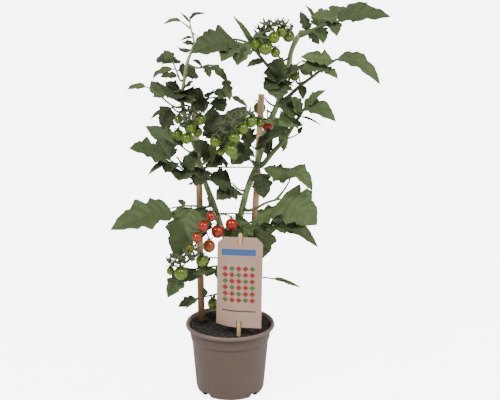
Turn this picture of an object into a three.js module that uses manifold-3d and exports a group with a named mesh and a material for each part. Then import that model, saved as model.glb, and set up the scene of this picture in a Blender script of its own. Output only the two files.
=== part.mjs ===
// A cherry tomato plant on a ladder of two canes, growing in a nursery pot with a card label on a splint.
// Millimetres, +Z up, +Y away from the viewer. The origin is the middle of the pot's foot.
import * as THREE from "three";
import { mergeVertices } from "three/addons/utils/BufferGeometryUtils.js";
import Module from "manifold-3d";

const wasm = await Module();
wasm.setup();

// Driving dimensions of the pot
const RIM_DIAMETER = 130;
const POT_HEIGHT = 105;
const COLLAR_DIAMETER = 119;
const WAIST_DIAMETER = 112;
const HEEL_DIAMETER = 100;
const FOOT_DIAMETER = 91;
const COLLAR_BOTTOM = 82;
const LIP_HEIGHT = 6.5;
const WALL = 1.8;
const FLOOR = 2.4;
const POT_SIDES = 28;
const NOTCH_WIDTH = 13;
const NOTCH_HEIGHT = 7;
const NOTCHES = 4;

// Driving dimensions of what stands in the pot
const SOIL_LEVEL = 100;
const SOIL_LUMPS = 1.6;
const CLEARANCE = 0.3;
const ROOTED = 34;
const CANE_DEPTH = 18;
const CANE_FOOT_RADIUS = 5.2;
const CANE_TOP_RADIUS = 4.4;
const CANE_SIDES = 7;
const CANE_STEPS = 7;
const RUNG_RADIUS = 1.1;
const CARD_WIDTH = 64;
const CARD_THICKNESS = 0.9;
const CARD_CORNER = 9;
const SPLINT_WIDTH = 5.4;
const SPLINT_THICKNESS = 1.8;

// Driving dimensions of the plant
const MAIN_STEM_RADIUS = 4.4;
const LEADER_RADIUS = 4.5;
const LEADER_TIP_RADIUS = 2;
const THICK_LEADER_EXTRA = 1.2;
const MAIN_STEM_SIDES = 7;
const MAIN_STEM_STEPS = 4;
const LEADER_SIDES = 6;
const LEFT_LEADER_STEPS = 12;
const RIGHT_LEADER_STEPS = 15;
const STALK_RADIUS = 1.7;
const STALK_TIP_RADIUS = 1.05;
const STALK_TAPER = 0.5;
const SIDE_STALK_RADIUS = 1.2;
const STALK_SIDES = 3;
const BLADE_THICKNESS = 0.8;
const FRUIT_SIDES = 7;
const FRUIT_ROWS = 4;
const FRUIT_STRETCH = 1.04;
const CALYX_RADIUS = 1.4;
const CALYX_POINT = 1.3;
const CALYX_SEAT = 0.9;
const CALYX_DEPTH = 1;
const PEDICEL_RADIUS = 0.85;
const PEDICEL_KNEE = 5;
const PEDICEL_KNEE_SHARE = 0.55;
const PEDICEL_STEPS = 2;
const SEPALS = 5;
const SEPAL_LENGTH = 6.5;
const SEPAL_SHORTEST = 0.85;
const SEPAL_SPREAD = 0.3;
const SEPAL_LIFT = 0.6;
const SEPAL_SAG = 1.8;
const SAG_SEEDS = 40;
const FUSING_TOLERANCE = 0.3;

// The viewpoint that the plant's places are read from: a point is [across, down, behind], the first two in
// pixels of a 500 by 400 picture and the third in millimetres behind the pot's axis.
const VIEW = { distance: 2100, height: 949, pitch: THREE.MathUtils.degToRad(17.4), focal: 1545 };
const VIEW_AXIS = 230.2;
const VIEW_MIDDLE = 200;

const GREEN = 0x4c6131;
const colours = {
  pot: new THREE.MeshStandardMaterial({ color: 0x8a7a71, roughness: 0.55, metalness: 0 }),
  soil: new THREE.MeshStandardMaterial({ color: 0x1f1a17, roughness: 0.95, metalness: 0 }),
  cane: new THREE.MeshStandardMaterial({ color: 0xa07a58, roughness: 0.7, metalness: 0 }),
  card: new THREE.MeshStandardMaterial({ color: 0xb39c8b, roughness: 0.85, metalness: 0 }),
  splint: new THREE.MeshStandardMaterial({ color: 0xb59f80, roughness: 0.75, metalness: 0 }),
  stem: new THREE.MeshStandardMaterial({ color: 0x6c7d4b, roughness: 0.65, metalness: 0 }),
  leaf: new THREE.MeshStandardMaterial({ color: GREEN, roughness: 0.6, metalness: 0 }),
  unripe: new THREE.MeshStandardMaterial({ color: 0x6f8f2a, roughness: 0.3, metalness: 0 }),
  ripe: new THREE.MeshStandardMaterial({ color: 0xb3301c, roughness: 0.25, metalness: 0 }),
};

const UP = new THREE.Vector3(0, 0, 1);
const FACING = new THREE.Vector3(0, -0.75, 1);
const FACING_AWAY = new THREE.Vector3(0, -1.1, 1);

function seen([across, down, behind]) {
  const rise = (VIEW_MIDDLE - down) / VIEW.focal;
  const sine = Math.sin(VIEW.pitch);
  const cosine = Math.cos(VIEW.pitch);
  const away = behind + VIEW.distance;
  const lift = (away * (rise * cosine - sine)) / (cosine + rise * sine);
  const reach = away * cosine - lift * sine;
  return new THREE.Vector3(((across - VIEW_AXIS) / VIEW.focal) * reach, behind, VIEW.height + lift);
}

function curveThrough(points) {
  return new THREE.CatmullRomCurve3(points, false, "catmullrom", 0.5);
}

function nearestOn(curve, point, samples = 240) {
  let best = curve.getPoint(0);
  for (let i = 1; i <= samples; i += 1) {
    const here = curve.getPoint(i / samples);
    if (here.distanceTo(point) < best.distanceTo(point)) best = here;
  }
  return best;
}

// A number from 0 to 1 that depends only on its seed, and how far apart the seeds of like pieces are
const LEAF_SEEDS = 50;
const BRANCH_SEEDS = 20;
const TRUSS_SEEDS = 90;
const FRUIT_SEEDS = 7;
function chance(seed) {
  const value = Math.sin(seed * 12.9898 + 4.137) * 43758.5453;
  return value - Math.floor(value);
}

function solidOf(geometry) {
  const plain = geometry.clone();
  plain.deleteAttribute("normal");
  plain.deleteAttribute("uv");
  const merged = mergeVertices(plain, 1e-4);
  return new wasm.Manifold(
    new wasm.Mesh({
      numProp: 3,
      vertProperties: merged.attributes.position.array,
      triVerts: new Uint32Array(merged.index.array),
    }),
  );
}

function geometryOf(solid) {
  const mesh = solid.getMesh();
  const geometry = new THREE.BufferGeometry();
  geometry.setAttribute("position", new THREE.BufferAttribute(new Float32Array(mesh.vertProperties), 3));
  geometry.setIndex(new THREE.BufferAttribute(mesh.triVerts, 1));
  geometry.computeVertexNormals();
  return geometry;
}

// The largest body of a solid, without its loose scraps and sealed hollows
function wholeOf(solid) {
  return solid.decompose().reduce((best, one) => (one.volume() > best.volume() ? one : best));
}

function fused(solids) {
  return wholeOf(solids.reduce((all, one) => all.add(one)).simplify(FUSING_TOLERANCE));
}

function fromVertices(vertices, triangles) {
  const geometry = new THREE.BufferGeometry();
  const numbers = vertices.flatMap((v) => [v.x, v.y, v.z]);
  geometry.setAttribute("position", new THREE.Float32BufferAttribute(numbers, 3));
  geometry.setIndex(triangles.flat());
  return geometry;
}

// A round limb that tapers along a curve, with flat ends
function limb(curve, startRadius, endRadius, sides, steps) {
  const frames = curve.computeFrenetFrames(steps, false);
  const vertices = [];
  const triangles = [];
  for (let i = 0; i <= steps; i += 1) {
    const radius = THREE.MathUtils.lerp(startRadius, endRadius, i / steps);
    const centre = curve.getPointAt(i / steps);
    for (let j = 0; j < sides; j += 1) {
      const turn = (j / sides) * Math.PI * 2;
      vertices.push(
        centre
          .clone()
          .addScaledVector(frames.normals[i], Math.cos(turn) * radius)
          .addScaledVector(frames.binormals[i], Math.sin(turn) * radius),
      );
    }
  }
  for (let i = 0; i < steps; i += 1)
    for (let j = 0; j < sides; j += 1) {
      const a = i * sides + j;
      const b = i * sides + ((j + 1) % sides);
      triangles.push([a, b, b + sides], [a, b + sides, a + sides]);
    }
  const last = steps * sides;
  for (let j = 1; j < sides - 1; j += 1) {
    triangles.push([0, j + 1, j]);
    triangles.push([last, last + j, last + j + 1]);
  }
  return solidOf(fromVertices(vertices, triangles));
}

function straight(start, end, startRadius, endRadius, sides) {
  return limb(new THREE.LineCurve3(start, end), startRadius, endRadius, sides, 1);
}

// The midrib of a leaflet is an arc from its base to its tip. place() gives the point a share along it, a
// distance to one side and a lift off the surface.
function midrib(base, tip, archDegrees, rollDegrees, facing) {
  const chord = tip.clone().sub(base);
  const length = chord.length();
  const along = chord.clone().normalize();
  const upper = facing.clone().addScaledVector(along, -facing.dot(along)).normalize();
  upper.applyAxisAngle(along, THREE.MathUtils.degToRad(rollDegrees));
  const side = upper.clone().cross(along);
  const half = THREE.MathUtils.degToRad(Math.max(archDegrees, LEAST_ARCH)) / 2;
  const radius = length / (2 * Math.sin(half));
  return {
    length,
    place(share, sideways, lift) {
      const turn = half * (2 * share - 1);
      const normal = upper.clone().multiplyScalar(Math.cos(turn)).addScaledVector(along, Math.sin(turn));
      return base
        .clone()
        .addScaledVector(along, radius * (Math.sin(turn) + Math.sin(half)))
        .addScaledVector(upper, radius * (Math.cos(turn) - Math.cos(half)))
        .addScaledVector(side, sideways)
        .addScaledVector(normal, lift);
    },
  };
}

// Half the width of a leaflet, as a share of its widest, at a share of the blade from neck to tip
const BLADE_RISE = 0.5;
const BLADE_FALL = 1.05;
const BLADE_PEAK = 2.643;
function bladeShape(share) {
  return BLADE_PEAK * share ** BLADE_RISE * (1 - share) ** BLADE_FALL;
}

// One leaflet: a narrow foot, then a blade with forward-pointing lobes, folded a little along its midrib and
// waved at its edge. It is one thin closed solid, split into triangles alike on both faces.
const NECK_HALF_WIDTH = 0.9;
const NECK_SHARE = 0.1;
const GENTLE_ARCH = 35;
const LEAST_ARCH = 2;
const LOBE_TIP = 0.72;
const LOBE_NOTCH = 0.98;
const LOBE_DEPTH = 0.42;
const LOBE_SPARE = 0.45;
const STRONG_ARCH = 55;
const WIDE_BLADE = 46;
const NARROW_BLADE = 16;
const FOLD = 0.16;
const WAVE = 0.09;
const WAVE_TURN = 14;
const RIB_SHARES = [0.45];
const ARCHED_RIB_SHARES = [0.34, 0.68];
const TURNS_AWAY = 12;
function leaflet(base, spec, seed) {
  const tip = seen(spec.tip);
  const facing = spec.tip[2] > TURNS_AWAY ? FACING_AWAY : FACING;
  const arch = spec.arch ?? GENTLE_ARCH;
  const rib = midrib(base, tip, arch, spec.roll ?? 0, facing);
  const neck = spec.neck ?? NECK_SHARE;
  const lobes = spec.lobes ?? (spec.width > WIDE_BLADE ? 3 : spec.width > NARROW_BLADE ? 2 : 1);
  const edge = [[0, NECK_HALF_WIDTH]];
  for (let i = 0; i < lobes; i += 1) {
    const tipShare = (i + LOBE_TIP) / (lobes + LOBE_SPARE);
    edge.push([tipShare, (spec.width / 2) * bladeShape(tipShare)]);
    if (i === lobes - 1) break;
    const notchShare = (i + LOBE_NOTCH) / (lobes + LOBE_SPARE);
    edge.push([notchShare, (spec.width / 2) * bladeShape(notchShare) * (1 - LOBE_DEPTH * (1 - notchShare))]);
  }
  const shares = edge.map(([share], i) => (i === 0 ? 0 : neck + (1 - neck) * share));
  const ribShares = arch > STRONG_ARCH ? ARCHED_RIB_SHARES : RIB_SHARES;
  const phase = chance(seed) * Math.PI * 2;

  const rows = { rib: [], left: [], right: [] };
  for (const share of ribShares) rows.rib.push({ share, across: 0, lift: 0 });
  for (const [name, sign] of [["left", 1], ["right", -1]])
    edge.forEach(([, half], i) => {
      const wave = Math.sin(phase + sign + shares[i] * WAVE_TURN) * WAVE;
      rows[name].push({ share: shares[i], across: sign * half, lift: i === 0 ? 0 : half * (FOLD + wave) });
    });
  const end = { share: 1, across: 0, lift: 0 };
  const all = [...rows.rib, ...rows.left, ...rows.right, end];
  const vertices = [BLADE_THICKNESS / 2, -BLADE_THICKNESS / 2].flatMap((half) =>
    all.map((p) => rib.place(p.share, p.across, p.lift + half)),
  );
  const below = all.length;
  const top = [];
  const ribIndex = rows.rib.map((_, i) => i).concat(below - 1);
  const leftIndex = rows.left.map((_, i) => rows.rib.length + i).concat(below - 1);
  const rightIndex = rows.right.map((_, i) => rows.rib.length + rows.left.length + i).concat(below - 1);
  top.push([leftIndex[0], rightIndex[0], ribIndex[0]]);
  for (const [outer, flip] of [[leftIndex, true], [rightIndex, false]]) {
    let i = 0;
    let j = 0;
    while (i < ribIndex.length - 1 || j < outer.length - 1) {
      const nextRib = i < ribIndex.length - 1 ? all[ribIndex[i + 1]].share : Infinity;
      const nextEdge = j < outer.length - 1 ? all[outer[j + 1]].share : Infinity;
      const stepRib = nextRib <= nextEdge;
      const third = stepRib ? ribIndex[i + 1] : outer[j + 1];
      const triangle = [ribIndex[i], outer[j], third];
      if (new Set(triangle).size === 3) top.push(flip ? [triangle[0], triangle[2], triangle[1]] : triangle);
      if (stepRib) i += 1;
      else j += 1;
    }
  }
  const rim = [...rightIndex, ...leftIndex.slice(0, -1).reverse()];
  const triangles = [...top, ...top.map(([a, b, c]) => [a + below, c + below, b + below])];
  rim.forEach((a, i) => {
    const b = rim[(i + 1) % rim.length];
    triangles.push([a, a + below, b + below], [a, b + below, b]);
  });
  return solidOf(fromVertices(vertices, triangles));
}

// A place on the straight runs of a limb, at a share of its length
function limbPoint(curve, steps, share) {
  const run = Math.min(Math.floor(share * steps), steps - 1);
  const start = curve.getPointAt(run / steps);
  return start.lerp(curve.getPointAt((run + 1) / steps), share * steps - run);
}

const LIMB_PLACES = 60;
function nearestOnLimb(curve, steps, point) {
  const shares = Array.from({ length: LIMB_PLACES + 1 }, (_, i) => i / LIMB_PLACES);
  const places = shares.map((share) => limbPoint(curve, steps, share));
  return places.reduce((best, here) => (here.distanceTo(point) < best.distanceTo(point) ? here : best));
}

// A leaf: one or more branches, each a tapering stalk with leaflets along it
function leaf(spec, seed, carrier) {
  const solids = [];
  let first;
  spec.forEach((branch, b) => {
    const points = branch.stalk.map(seen);
    const steps = points.length;
    if (b === 0) points.unshift(nearestOn(carrier, points[0]));
    else points[0] = nearestOnLimb(first, spec[0].stalk.length, points[0]);
    const curve = curveThrough(points);
    first ??= curve;
    const thick = branch.thick ?? (b === 0 ? STALK_RADIUS : SIDE_STALK_RADIUS);
    const thin = Math.max(thick * STALK_TAPER, STALK_TIP_RADIUS);
    solids.push(limb(curve, thick, thin, STALK_SIDES, steps));
    branch.leaflets.forEach((one, i) => {
      solids.push(leaflet(limbPoint(curve, steps, one.at), one, seed + b * BRANCH_SEEDS + i));
    });
  });
  return fused(solids);
}

// A fruit hangs on its pedicel by a star of sepals. Its axis points from its middle to its calyx.
const FRUIT_LEAN = [0, 0.1, 1];
function fruitAxis(one) {
  return new THREE.Vector3(...(one.lean ?? FRUIT_LEAN)).normalize();
}

function ripeBody(one) {
  const centre = seen(one.centre);
  const ball = new THREE.SphereGeometry(one.radius, FRUIT_SIDES, FRUIT_ROWS + 1).rotateX(Math.PI / 2);
  ball.scale(1, 1, FRUIT_STRETCH);
  ball.applyQuaternion(new THREE.Quaternion().setFromUnitVectors(UP, fruitAxis(one)));
  ball.translate(centre.x, centre.y, centre.z);
  return solidOf(ball);
}

// Triangles between two rings of points, given by their first index and their number of points
function zip([upper, above], [lower, below]) {
  const triangles = [];
  let i = 0;
  let j = 0;
  while (i < above || j < below) {
    const stepLower = i === above || (j < below && (j + 1) / below < (i + 1) / above);
    const here = upper + (i % above);
    if (stepLower) triangles.push([here, lower + ((j + 1) % below), lower + (j % below)]);
    else triangles.push([here, upper + ((i + 1) % above), lower + (j % below)]);
    if (stepLower) j += 1;
    else i += 1;
  }
  return triangles;
}

// The pedicel widens into the calyx: the valleys between the sepals are its last ring. An unripe fruit
// follows in the same surface. A ripe one is a solid of its own, and a flower, whose radius is 0, bears no
// fruit, so the calyx of these ends in a point.
function hangingFruit(one, start, seed) {
  const axis = fruitAxis(one);
  const middle = seen(one.centre);
  const top = one.radius * FRUIT_STRETCH;
  const loose = one.ripe || one.radius === 0;
  const crown = middle.clone().addScaledVector(axis, top + (loose ? CLEARANCE + CALYX_POINT : CALYX_SEAT));
  const knee = start.clone().lerp(crown, PEDICEL_KNEE_SHARE).addScaledVector(axis, PEDICEL_KNEE);
  const steps = PEDICEL_STEPS;
  const curve = new THREE.QuadraticBezierCurve3(start, knee, crown);
  const frames = curve.computeFrenetFrames(steps, false);
  const side = frames.normals[steps].clone().projectOnPlane(axis).normalize();
  const other = side.clone().cross(axis);
  const vertices = [];
  const triangles = [];
  const around = (centre, across, along, share, reach) =>
    centre
      .clone()
      .addScaledVector(across, Math.cos(share * Math.PI * 2) * reach)
      .addScaledVector(along, Math.sin(share * Math.PI * 2) * reach);
  const ring = (centre, across, along, count, reach) => {
    const first = vertices.length;
    for (let j = 0; j < count; j += 1) vertices.push(around(centre, across, along, j / count, reach));
    return [first, count];
  };
  const tube = [];
  for (let i = 0; i < steps; i += 1) {
    const centre = curve.getPointAt(i / steps);
    tube.push(ring(centre, frames.normals[i], frames.binormals[i], SEPALS, PEDICEL_RADIUS));
  }
  tube.push(ring(crown, side, other, SEPALS, CALYX_RADIUS));
  for (let i = 0; i < steps; i += 1) triangles.push(...zip(tube[i], tube[i + 1]));
  for (let j = 1; j < SEPALS - 1; j += 1) triangles.push([0, j + 1, j]);
  const [upper] = tube[steps];
  const foot = loose
    ? [vertices.push(crown.clone().addScaledVector(axis, -CALYX_POINT)) - 1, 1]
    : ring(crown.clone().addScaledVector(axis, -CALYX_DEPTH), side, other, SEPALS, CALYX_RADIUS);
  for (let j = 0; j < SEPALS; j += 1) {
    const k = (j + 1) % SEPALS;
    const reach = SEPAL_LENGTH * (SEPAL_SHORTEST + SEPAL_SPREAD * chance(seed + j));
    const lift = SEPAL_LIFT - SEPAL_SAG * chance(seed + j + SAG_SEEDS);
    const tip = around(crown, side, other, (j + 0.5) / SEPALS, reach);
    const c = vertices.push(tip.addScaledVector(axis, lift)) - 1;
    const [a, b] = [upper + j, upper + k];
    const [p, q] = [foot[0] + (j % foot[1]), foot[0] + (k % foot[1])];
    triangles.push([b, c, a], [a, c, p], [q, c, b]);
    if (p !== q) triangles.push([p, c, q]);
  }
  if (loose) return solidOf(fromVertices(vertices, triangles));
  let above = foot;
  for (let row = 1; row < FRUIT_ROWS; row += 1) {
    const turn = (row / FRUIT_ROWS) * Math.PI;
    const centre = middle.clone().addScaledVector(axis, top * Math.cos(turn));
    const next = ring(centre, side, other, FRUIT_SIDES, one.radius * Math.sin(turn));
    triangles.push(...zip(above, next));
    above = next;
  }
  triangles.push(...zip(above, [vertices.push(middle.clone().addScaledVector(axis, -top)) - 1, 1]));
  return solidOf(fromVertices(vertices, triangles));
}

// A truss: its stalk, with the pedicels, sepals and unripe fruit in one solid
function truss(spec, seed, carrier) {
  const points = spec.stalk.map(seen);
  points.unshift(nearestOn(carrier, points[0]));
  const curve = curveThrough(points);
  const steps = points.length;
  const solids = [limb(curve, STALK_RADIUS, STALK_TIP_RADIUS, STALK_SIDES, steps)];
  spec.fruits.forEach((one, i) => {
    solids.push(hangingFruit(one, limbPoint(curve, steps, one.at), seed + i * FRUIT_SEEDS));
  });
  return fused(solids);
}

// The plant's own frame: a short main stem that forks into two leaders
const MAIN_STEM = [
  [230.2, 348, 6],
  [230, 326, 6],
  [229, 300, 7],
  [231, 276, 8],
  [232, 254, 8],
].map(seen);
const LEFT_LEADER = [
  [232, 254, 8],
  [226, 239, 9],
  [221, 226, 9],
  [213, 203, 8],
  [205, 182, 7],
  [200, 165, 6],
  [196, 150, 5],
  [189, 132, 6],
  [184, 114, 6],
  [182, 98, 5],
  [184, 82, 4],
  [187, 64, 3],
  [191, 52.5, 2],
].map(seen);
const RIGHT_LEADER = [
  [232, 254, 8],
  [236, 237, 9],
  [239, 222, 9],
  [243.5, 203, 8],
  [247, 190, 7],
  [252, 177, 6],
  [257, 165, 6],
  [261, 150, 6],
  [265, 133, 6],
  [272, 117, 5],
  [278, 103, 4],
  [280, 92, 2],
  [284, 78, 2],
  [289, 64, 0],
  [291, 52, -4],
  [296, 40, -8],
  [300, 34, -10],
].map(seen);
const carriers = {
  main: curveThrough(MAIN_STEM),
  left: curveThrough(LEFT_LEADER),
  right: curveThrough(RIGHT_LEADER),
};

function stemSolid(extra) {
  const foot = MAIN_STEM_RADIUS + extra;
  const start = LEADER_RADIUS + extra;
  const end = LEADER_TIP_RADIUS + extra;
  return fused([
    limb(carriers.main, foot, foot, MAIN_STEM_SIDES, MAIN_STEM_STEPS),
    limb(carriers.left, start, end, LEADER_SIDES, LEFT_LEADER_STEPS),
    limb(carriers.right, start, end + THICK_LEADER_EXTRA, LEADER_SIDES, RIGHT_LEADER_STEPS),
  ]);
}

// Leaves, by the leader that carries them. A leaf is one or more branches. A branch is a stalk with leaflets
// at a share of its length, each with the place of its tip and the width of its blade.
const LEAVES = {
  leaf_low_left: {
    carrier: "left",
    branches: [
      {
        thick: 2.1,
        stalk: [[207, 207, -2], [196, 206, -12], [184, 206, -28], [171, 208, -42]],
        leaflets: [
          { at: 1, tip: [110, 230, -96], width: 57, arch: 18, neck: 0.03 },
          { at: 0.52, tip: [176, 260, -42], width: 59, arch: 16, neck: 0.04 },
          { at: 0.2, tip: [196, 242, -18], width: 42, arch: 26, neck: 0.05 },
          { at: 0.68, tip: [178, 200, -14], width: 10, arch: 60 },
          { at: 0.14, tip: [206, 193, -22], width: 20, arch: 30 },
        ],
      },
    ],
  },
  leaf_low_right: {
    carrier: "right",
    branches: [
      {
        thick: 2.8,
        stalk: [[248, 210.5, 0], [256, 208, -6], [268, 202, -20], [280, 199, -30]],
        leaflets: [{ at: 1, tip: [317, 225, -54], width: 70, arch: 64, roll: 8, neck: 0.03 }],
      },
      {
        thick: 1.7,
        stalk: [[276, 200, -27], [284, 190, -18], [290, 180, -12]],
        leaflets: [
          { at: 1, tip: [312, 191, -50], width: 33, arch: 185 },
          { at: 1, tip: [263, 168, -8], width: 34, arch: 16 },
          { at: 0.97, tip: [290, 168, 40], width: 34, arch: 40 },
        ],
      },
    ],
  },
  leaf_behind_label: {
    carrier: "right",
    branches: [
      {
        thick: 1.9,
        stalk: [[245, 224, 2], [254, 221, -6], [263, 219, -9], [273, 218, -10]],
        leaflets: [
          { at: 1, tip: [318.5, 248, -86], width: 31, arch: 64, neck: 0.03 },
          { at: 1, tip: [299, 235, -40], width: 32, arch: 24 },
          { at: 0.5, tip: [285, 209, -24], width: 34, arch: 16 },
          { at: 0.72, tip: [260, 261, -14], width: 49, arch: 26, neck: 0.05 },
          { at: 0.4, tip: [224, 244, -14], width: 50, arch: 36, neck: 0.05 },
          { at: 0.98, tip: [286, 234, -24], width: 26, arch: 40 },
          { at: 0.5, tip: [236, 262, -12], width: 34 },
        ],
      },
    ],
  },
  leaf_fork: {
    carrier: "right",
    branches: [
      {
        stalk: [[258, 172, -2], [260, 171, -8]],
        leaflets: [
          { at: 1, tip: [264, 199, -18], width: 34, arch: 20 },
          { at: 0.7, tip: [249, 160, -22], width: 16 },
        ],
      },
    ],
  },
  leaf_right_middle: {
    carrier: "right",
    branches: [
      {
        thick: 4.2,
        stalk: [
          [262, 165, 2], [273, 152, -6], [284, 140, -12],
          [293, 126, -18], [299, 117, -22], [303, 110, -26],
        ],
        leaflets: [
          { at: 1, tip: [336, 122, -76], width: 37, arch: 92, lobes: 2, neck: 0.04 },
          { at: 0.99, tip: [326, 90, -56], width: 24, arch: 30 },
          { at: 0.93, tip: [291, 97, -40], width: 32, arch: 20 },
          { at: 0.96, tip: [276, 105, -38], width: 47, arch: 24 },
          { at: 0.86, tip: [279, 125, -44], width: 43, arch: 24 },
          { at: 0.76, tip: [262, 121, -34], width: 15, arch: 10 },
          { at: 0.9, tip: [323, 127, -46], width: 3.9, arch: 50, lobes: 1 },
        ],
      },
      {
        stalk: [[285, 140, -12], [292, 137, -16], [298, 134, -18]],
        leaflets: [{ at: 1, tip: [303, 126, -20], width: 7.8, arch: 20, lobes: 1 }],
      },
    ],
  },
  leaf_right_upper: {
    carrier: "right",
    branches: [
      {
        thick: 3.2,
        stalk: [[285, 99, -4], [300, 86, -12], [312, 77, -18], [325, 67, -24], [337, 59, -28]],
        leaflets: [
          { at: 1, tip: [380, 85, -70], width: 31, arch: 112, neck: 0.03 },
          { at: 0.97, tip: [300, 57, -42], width: 30, arch: 6 },
          { at: 0.86, tip: [302, 69, -50], width: 36, arch: 12 },
          { at: 0.78, tip: [338, 79, -56], width: 18 },
          { at: 0.62, tip: [297, 66, -36], width: 22, arch: 12 },
          { at: 0.42, tip: [303, 100, -22], width: 13, lobes: 1 },
        ],
      },
    ],
  },
  leaf_right_top: {
    carrier: "right",
    branches: [
      {
        thick: 4.2,
        stalk: [[308, 32, -13], [318, 28, -18], [328, 22, -22], [338, 17, -24]],
        leaflets: [
          { at: 1, tip: [391, 17, -60], width: 40, arch: 34, neck: 0.02 },
          { at: 1, tip: [368, 2.5, -20], width: 24, arch: 10 },
          { at: 0.95, tip: [313, 17, -56], width: 34, arch: 8 },
          { at: 0.52, tip: [323.5, 44, -50], width: 22 },
          { at: 0.84, tip: [337, 36.5, -60], width: 24 },
          { at: 0.18, tip: [319.5, 44.5, -10], width: 20 },
          { at: 0.22, tip: [300, 11, -2], width: 18, arch: 8 },
          { at: 0.45, tip: [304.5, 5.5, 4], width: 6.7, arch: 105, lobes: 1 },
          { at: 0.85, tip: [342, 7, 14], width: 32 },
          { at: 0.45, tip: [322, 9, -20], width: 28, arch: 12 },
        ],
      },
    ],
  },
  leaf_top_middle: {
    carrier: "right",
    branches: [
      {
        thick: 3,
        stalk: [
          [277, 74, -3], [268, 66, -12], [259, 55, -24],
          [251, 45, -33], [243, 41, -39], [234, 39, -44],
        ],
        leaflets: [
          { at: 1, tip: [191, 53.5, -80], width: 56, arch: 34, neck: 0.03 },
          { at: 0.95, tip: [221, 62, -94], width: 34, arch: 14 },
          { at: 0.84, tip: [237, 66, -80], width: 34, arch: 20 },
          { at: 0.64, tip: [232, 15, -22], width: 10, arch: 44, lobes: 1 },
          { at: 0.4, tip: [246.5, 67.5, -60], width: 17 },
          { at: 0.52, tip: [260, 31, 6], width: 32 },
        ],
      },
    ],
  },
  shoot_tip_left: {
    carrier: "left",
    branches: [
      {
        thick: 1.7,
        stalk: [[194, 42, 0], [192, 33, -2], [190, 24, -2], [190, 16, -4]],
        leaflets: [
          { at: 0.82, tip: [180, 12, -2], width: 4.5, arch: 25, lobes: 1 },
          { at: 0.86, tip: [206, 14, -10], width: 7.8, arch: 120, lobes: 1 },
          { at: 0.42, tip: [180, 41, -14], width: 5.6, arch: 60, lobes: 1 },
          { at: 0.26, tip: [182, 43, -4], width: 10, arch: 15, lobes: 1 },
          { at: 0.1, tip: [177.5, 45, -12], width: 9, arch: 100, roll: 180, lobes: 1 },
          { at: 0.5, tip: [197, 37, 16], width: 9.0, lobes: 1 },
        ],
      },
      {
        stalk: [[190.5, 29, -2], [186, 25, -6], [182, 22, -9]],
        leaflets: [{ at: 1, tip: [163, 25, -20], width: 8, arch: 100, lobes: 1 }],
      },
    ],
  },
  leaf_left_upper: {
    carrier: "left",
    branches: [
      {
        stalk: [[180, 80, 6], [177, 72, 14], [173, 63, 22]],
        leaflets: [
          { at: 1, tip: [157, 58, 50], width: 27, arch: 60 },
          { at: 0.97, tip: [181, 61, 38], width: 10, lobes: 1 },
          { at: 0.95, tip: [164, 50, 30], width: 20, arch: 30 },
          { at: 0.7, tip: [154, 81, 40], width: 12, arch: 112, lobes: 2 },
          { at: 0.36, tip: [160, 77, 18], width: 12, arch: 70, lobes: 2 },
          { at: 0.65, tip: [199, 77, 42], width: 29 },
        ],
      },
    ],
  },
  leaf_left_far: {
    carrier: "left",
    branches: [
      {
        stalk: [[175, 107, 8], [166, 101, 16], [158, 94, 24], [148, 87.5, 32]],
        leaflets: [
          { at: 1, tip: [127, 90, 58], width: 12, arch: 66, lobes: 2 },
          { at: 0.5, tip: [151, 81, 50], width: 26, arch: 20 },
        ],
      },
    ],
  },
  leaf_left_front: {
    carrier: "left",
    branches: [
      {
        stalk: [[181, 95, -4], [180, 91, -18]],
        leaflets: [
          { at: 1, tip: [167, 98, -50], width: 51, arch: 16 },
          { at: 0.97, tip: [191, 104, -46], width: 45, arch: 20 },
          { at: 0.6, tip: [165, 83, -26], width: 24, arch: 50 },
          { at: 0.8, tip: [190, 86, -44], width: 38, arch: 20 },
        ],
      },
    ],
  },
  leaf_left_inner: {
    carrier: "left",
    branches: [
      {
        stalk: [[190, 102, -2], [200, 100, -8], [210, 98, -6], [220, 97, -2]],
        leaflets: [
          { at: 1, tip: [219, 88, 12], width: 18, lobes: 1 },
          { at: 0.42, tip: [200, 87, -12], width: 31 },
          { at: 0.72, tip: [213, 91, -30], width: 20 },
          { at: 0.46, tip: [204, 113, -28], width: 31 },
          { at: 0.85, tip: [224, 112, -14], width: 31 },
        ],
      },
    ],
  },
  leaf_left_arching: {
    carrier: "left",
    branches: [
      {
        stalk: [[198, 68, -2], [209, 65, -8], [219, 69, -12], [226, 80, -14], [231, 96, -12]],
        leaflets: [
          { at: 0.26, tip: [192, 60, -18], width: 12, lobes: 1 },
          { at: 0.32, tip: [210, 78, -24], width: 14, arch: 40 },
          { at: 0.4, tip: [228, 83, -30], width: 16, arch: 60 },
          { at: 0.7, tip: [230, 101, -34], width: 17, arch: 16 },
          { at: 0.92, tip: [218, 99, -32], width: 22 },
          { at: 1, tip: [248, 107, -22], width: 10, arch: 30, lobes: 2 },
        ],
      },
    ],
  },
  leaf_left_middle: {
    carrier: "left",
    branches: [
      {
        stalk: [[178, 112, 2], [172, 107, -6]],
        leaflets: [
          { at: 1, tip: [163, 129, 2], width: 40, arch: 24 },
          { at: 0.9, tip: [150, 120, -14], width: 9, arch: 80, lobes: 2 },
        ],
      },
    ],
  },
  leaf_left_pale: {
    carrier: "left",
    branches: [
      {
        stalk: [[190, 152, 8], [185, 149, 14], [181, 146, 18]],
        leaflets: [
          { at: 1, tip: [145, 126, 50], width: 32, arch: 15, roll: 150 },
          { at: 0.4, tip: [197, 161, -4], width: 20, roll: 20 },
          { at: 0.8, tip: [170, 131, 44], width: 12, lobes: 1 },
        ],
      },
    ],
  },
  leaf_left_big: {
    carrier: "left",
    branches: [
      {
        stalk: [[197, 183, -4], [187, 174, -12], [176, 164, -24], [165, 157, -36]],
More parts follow.
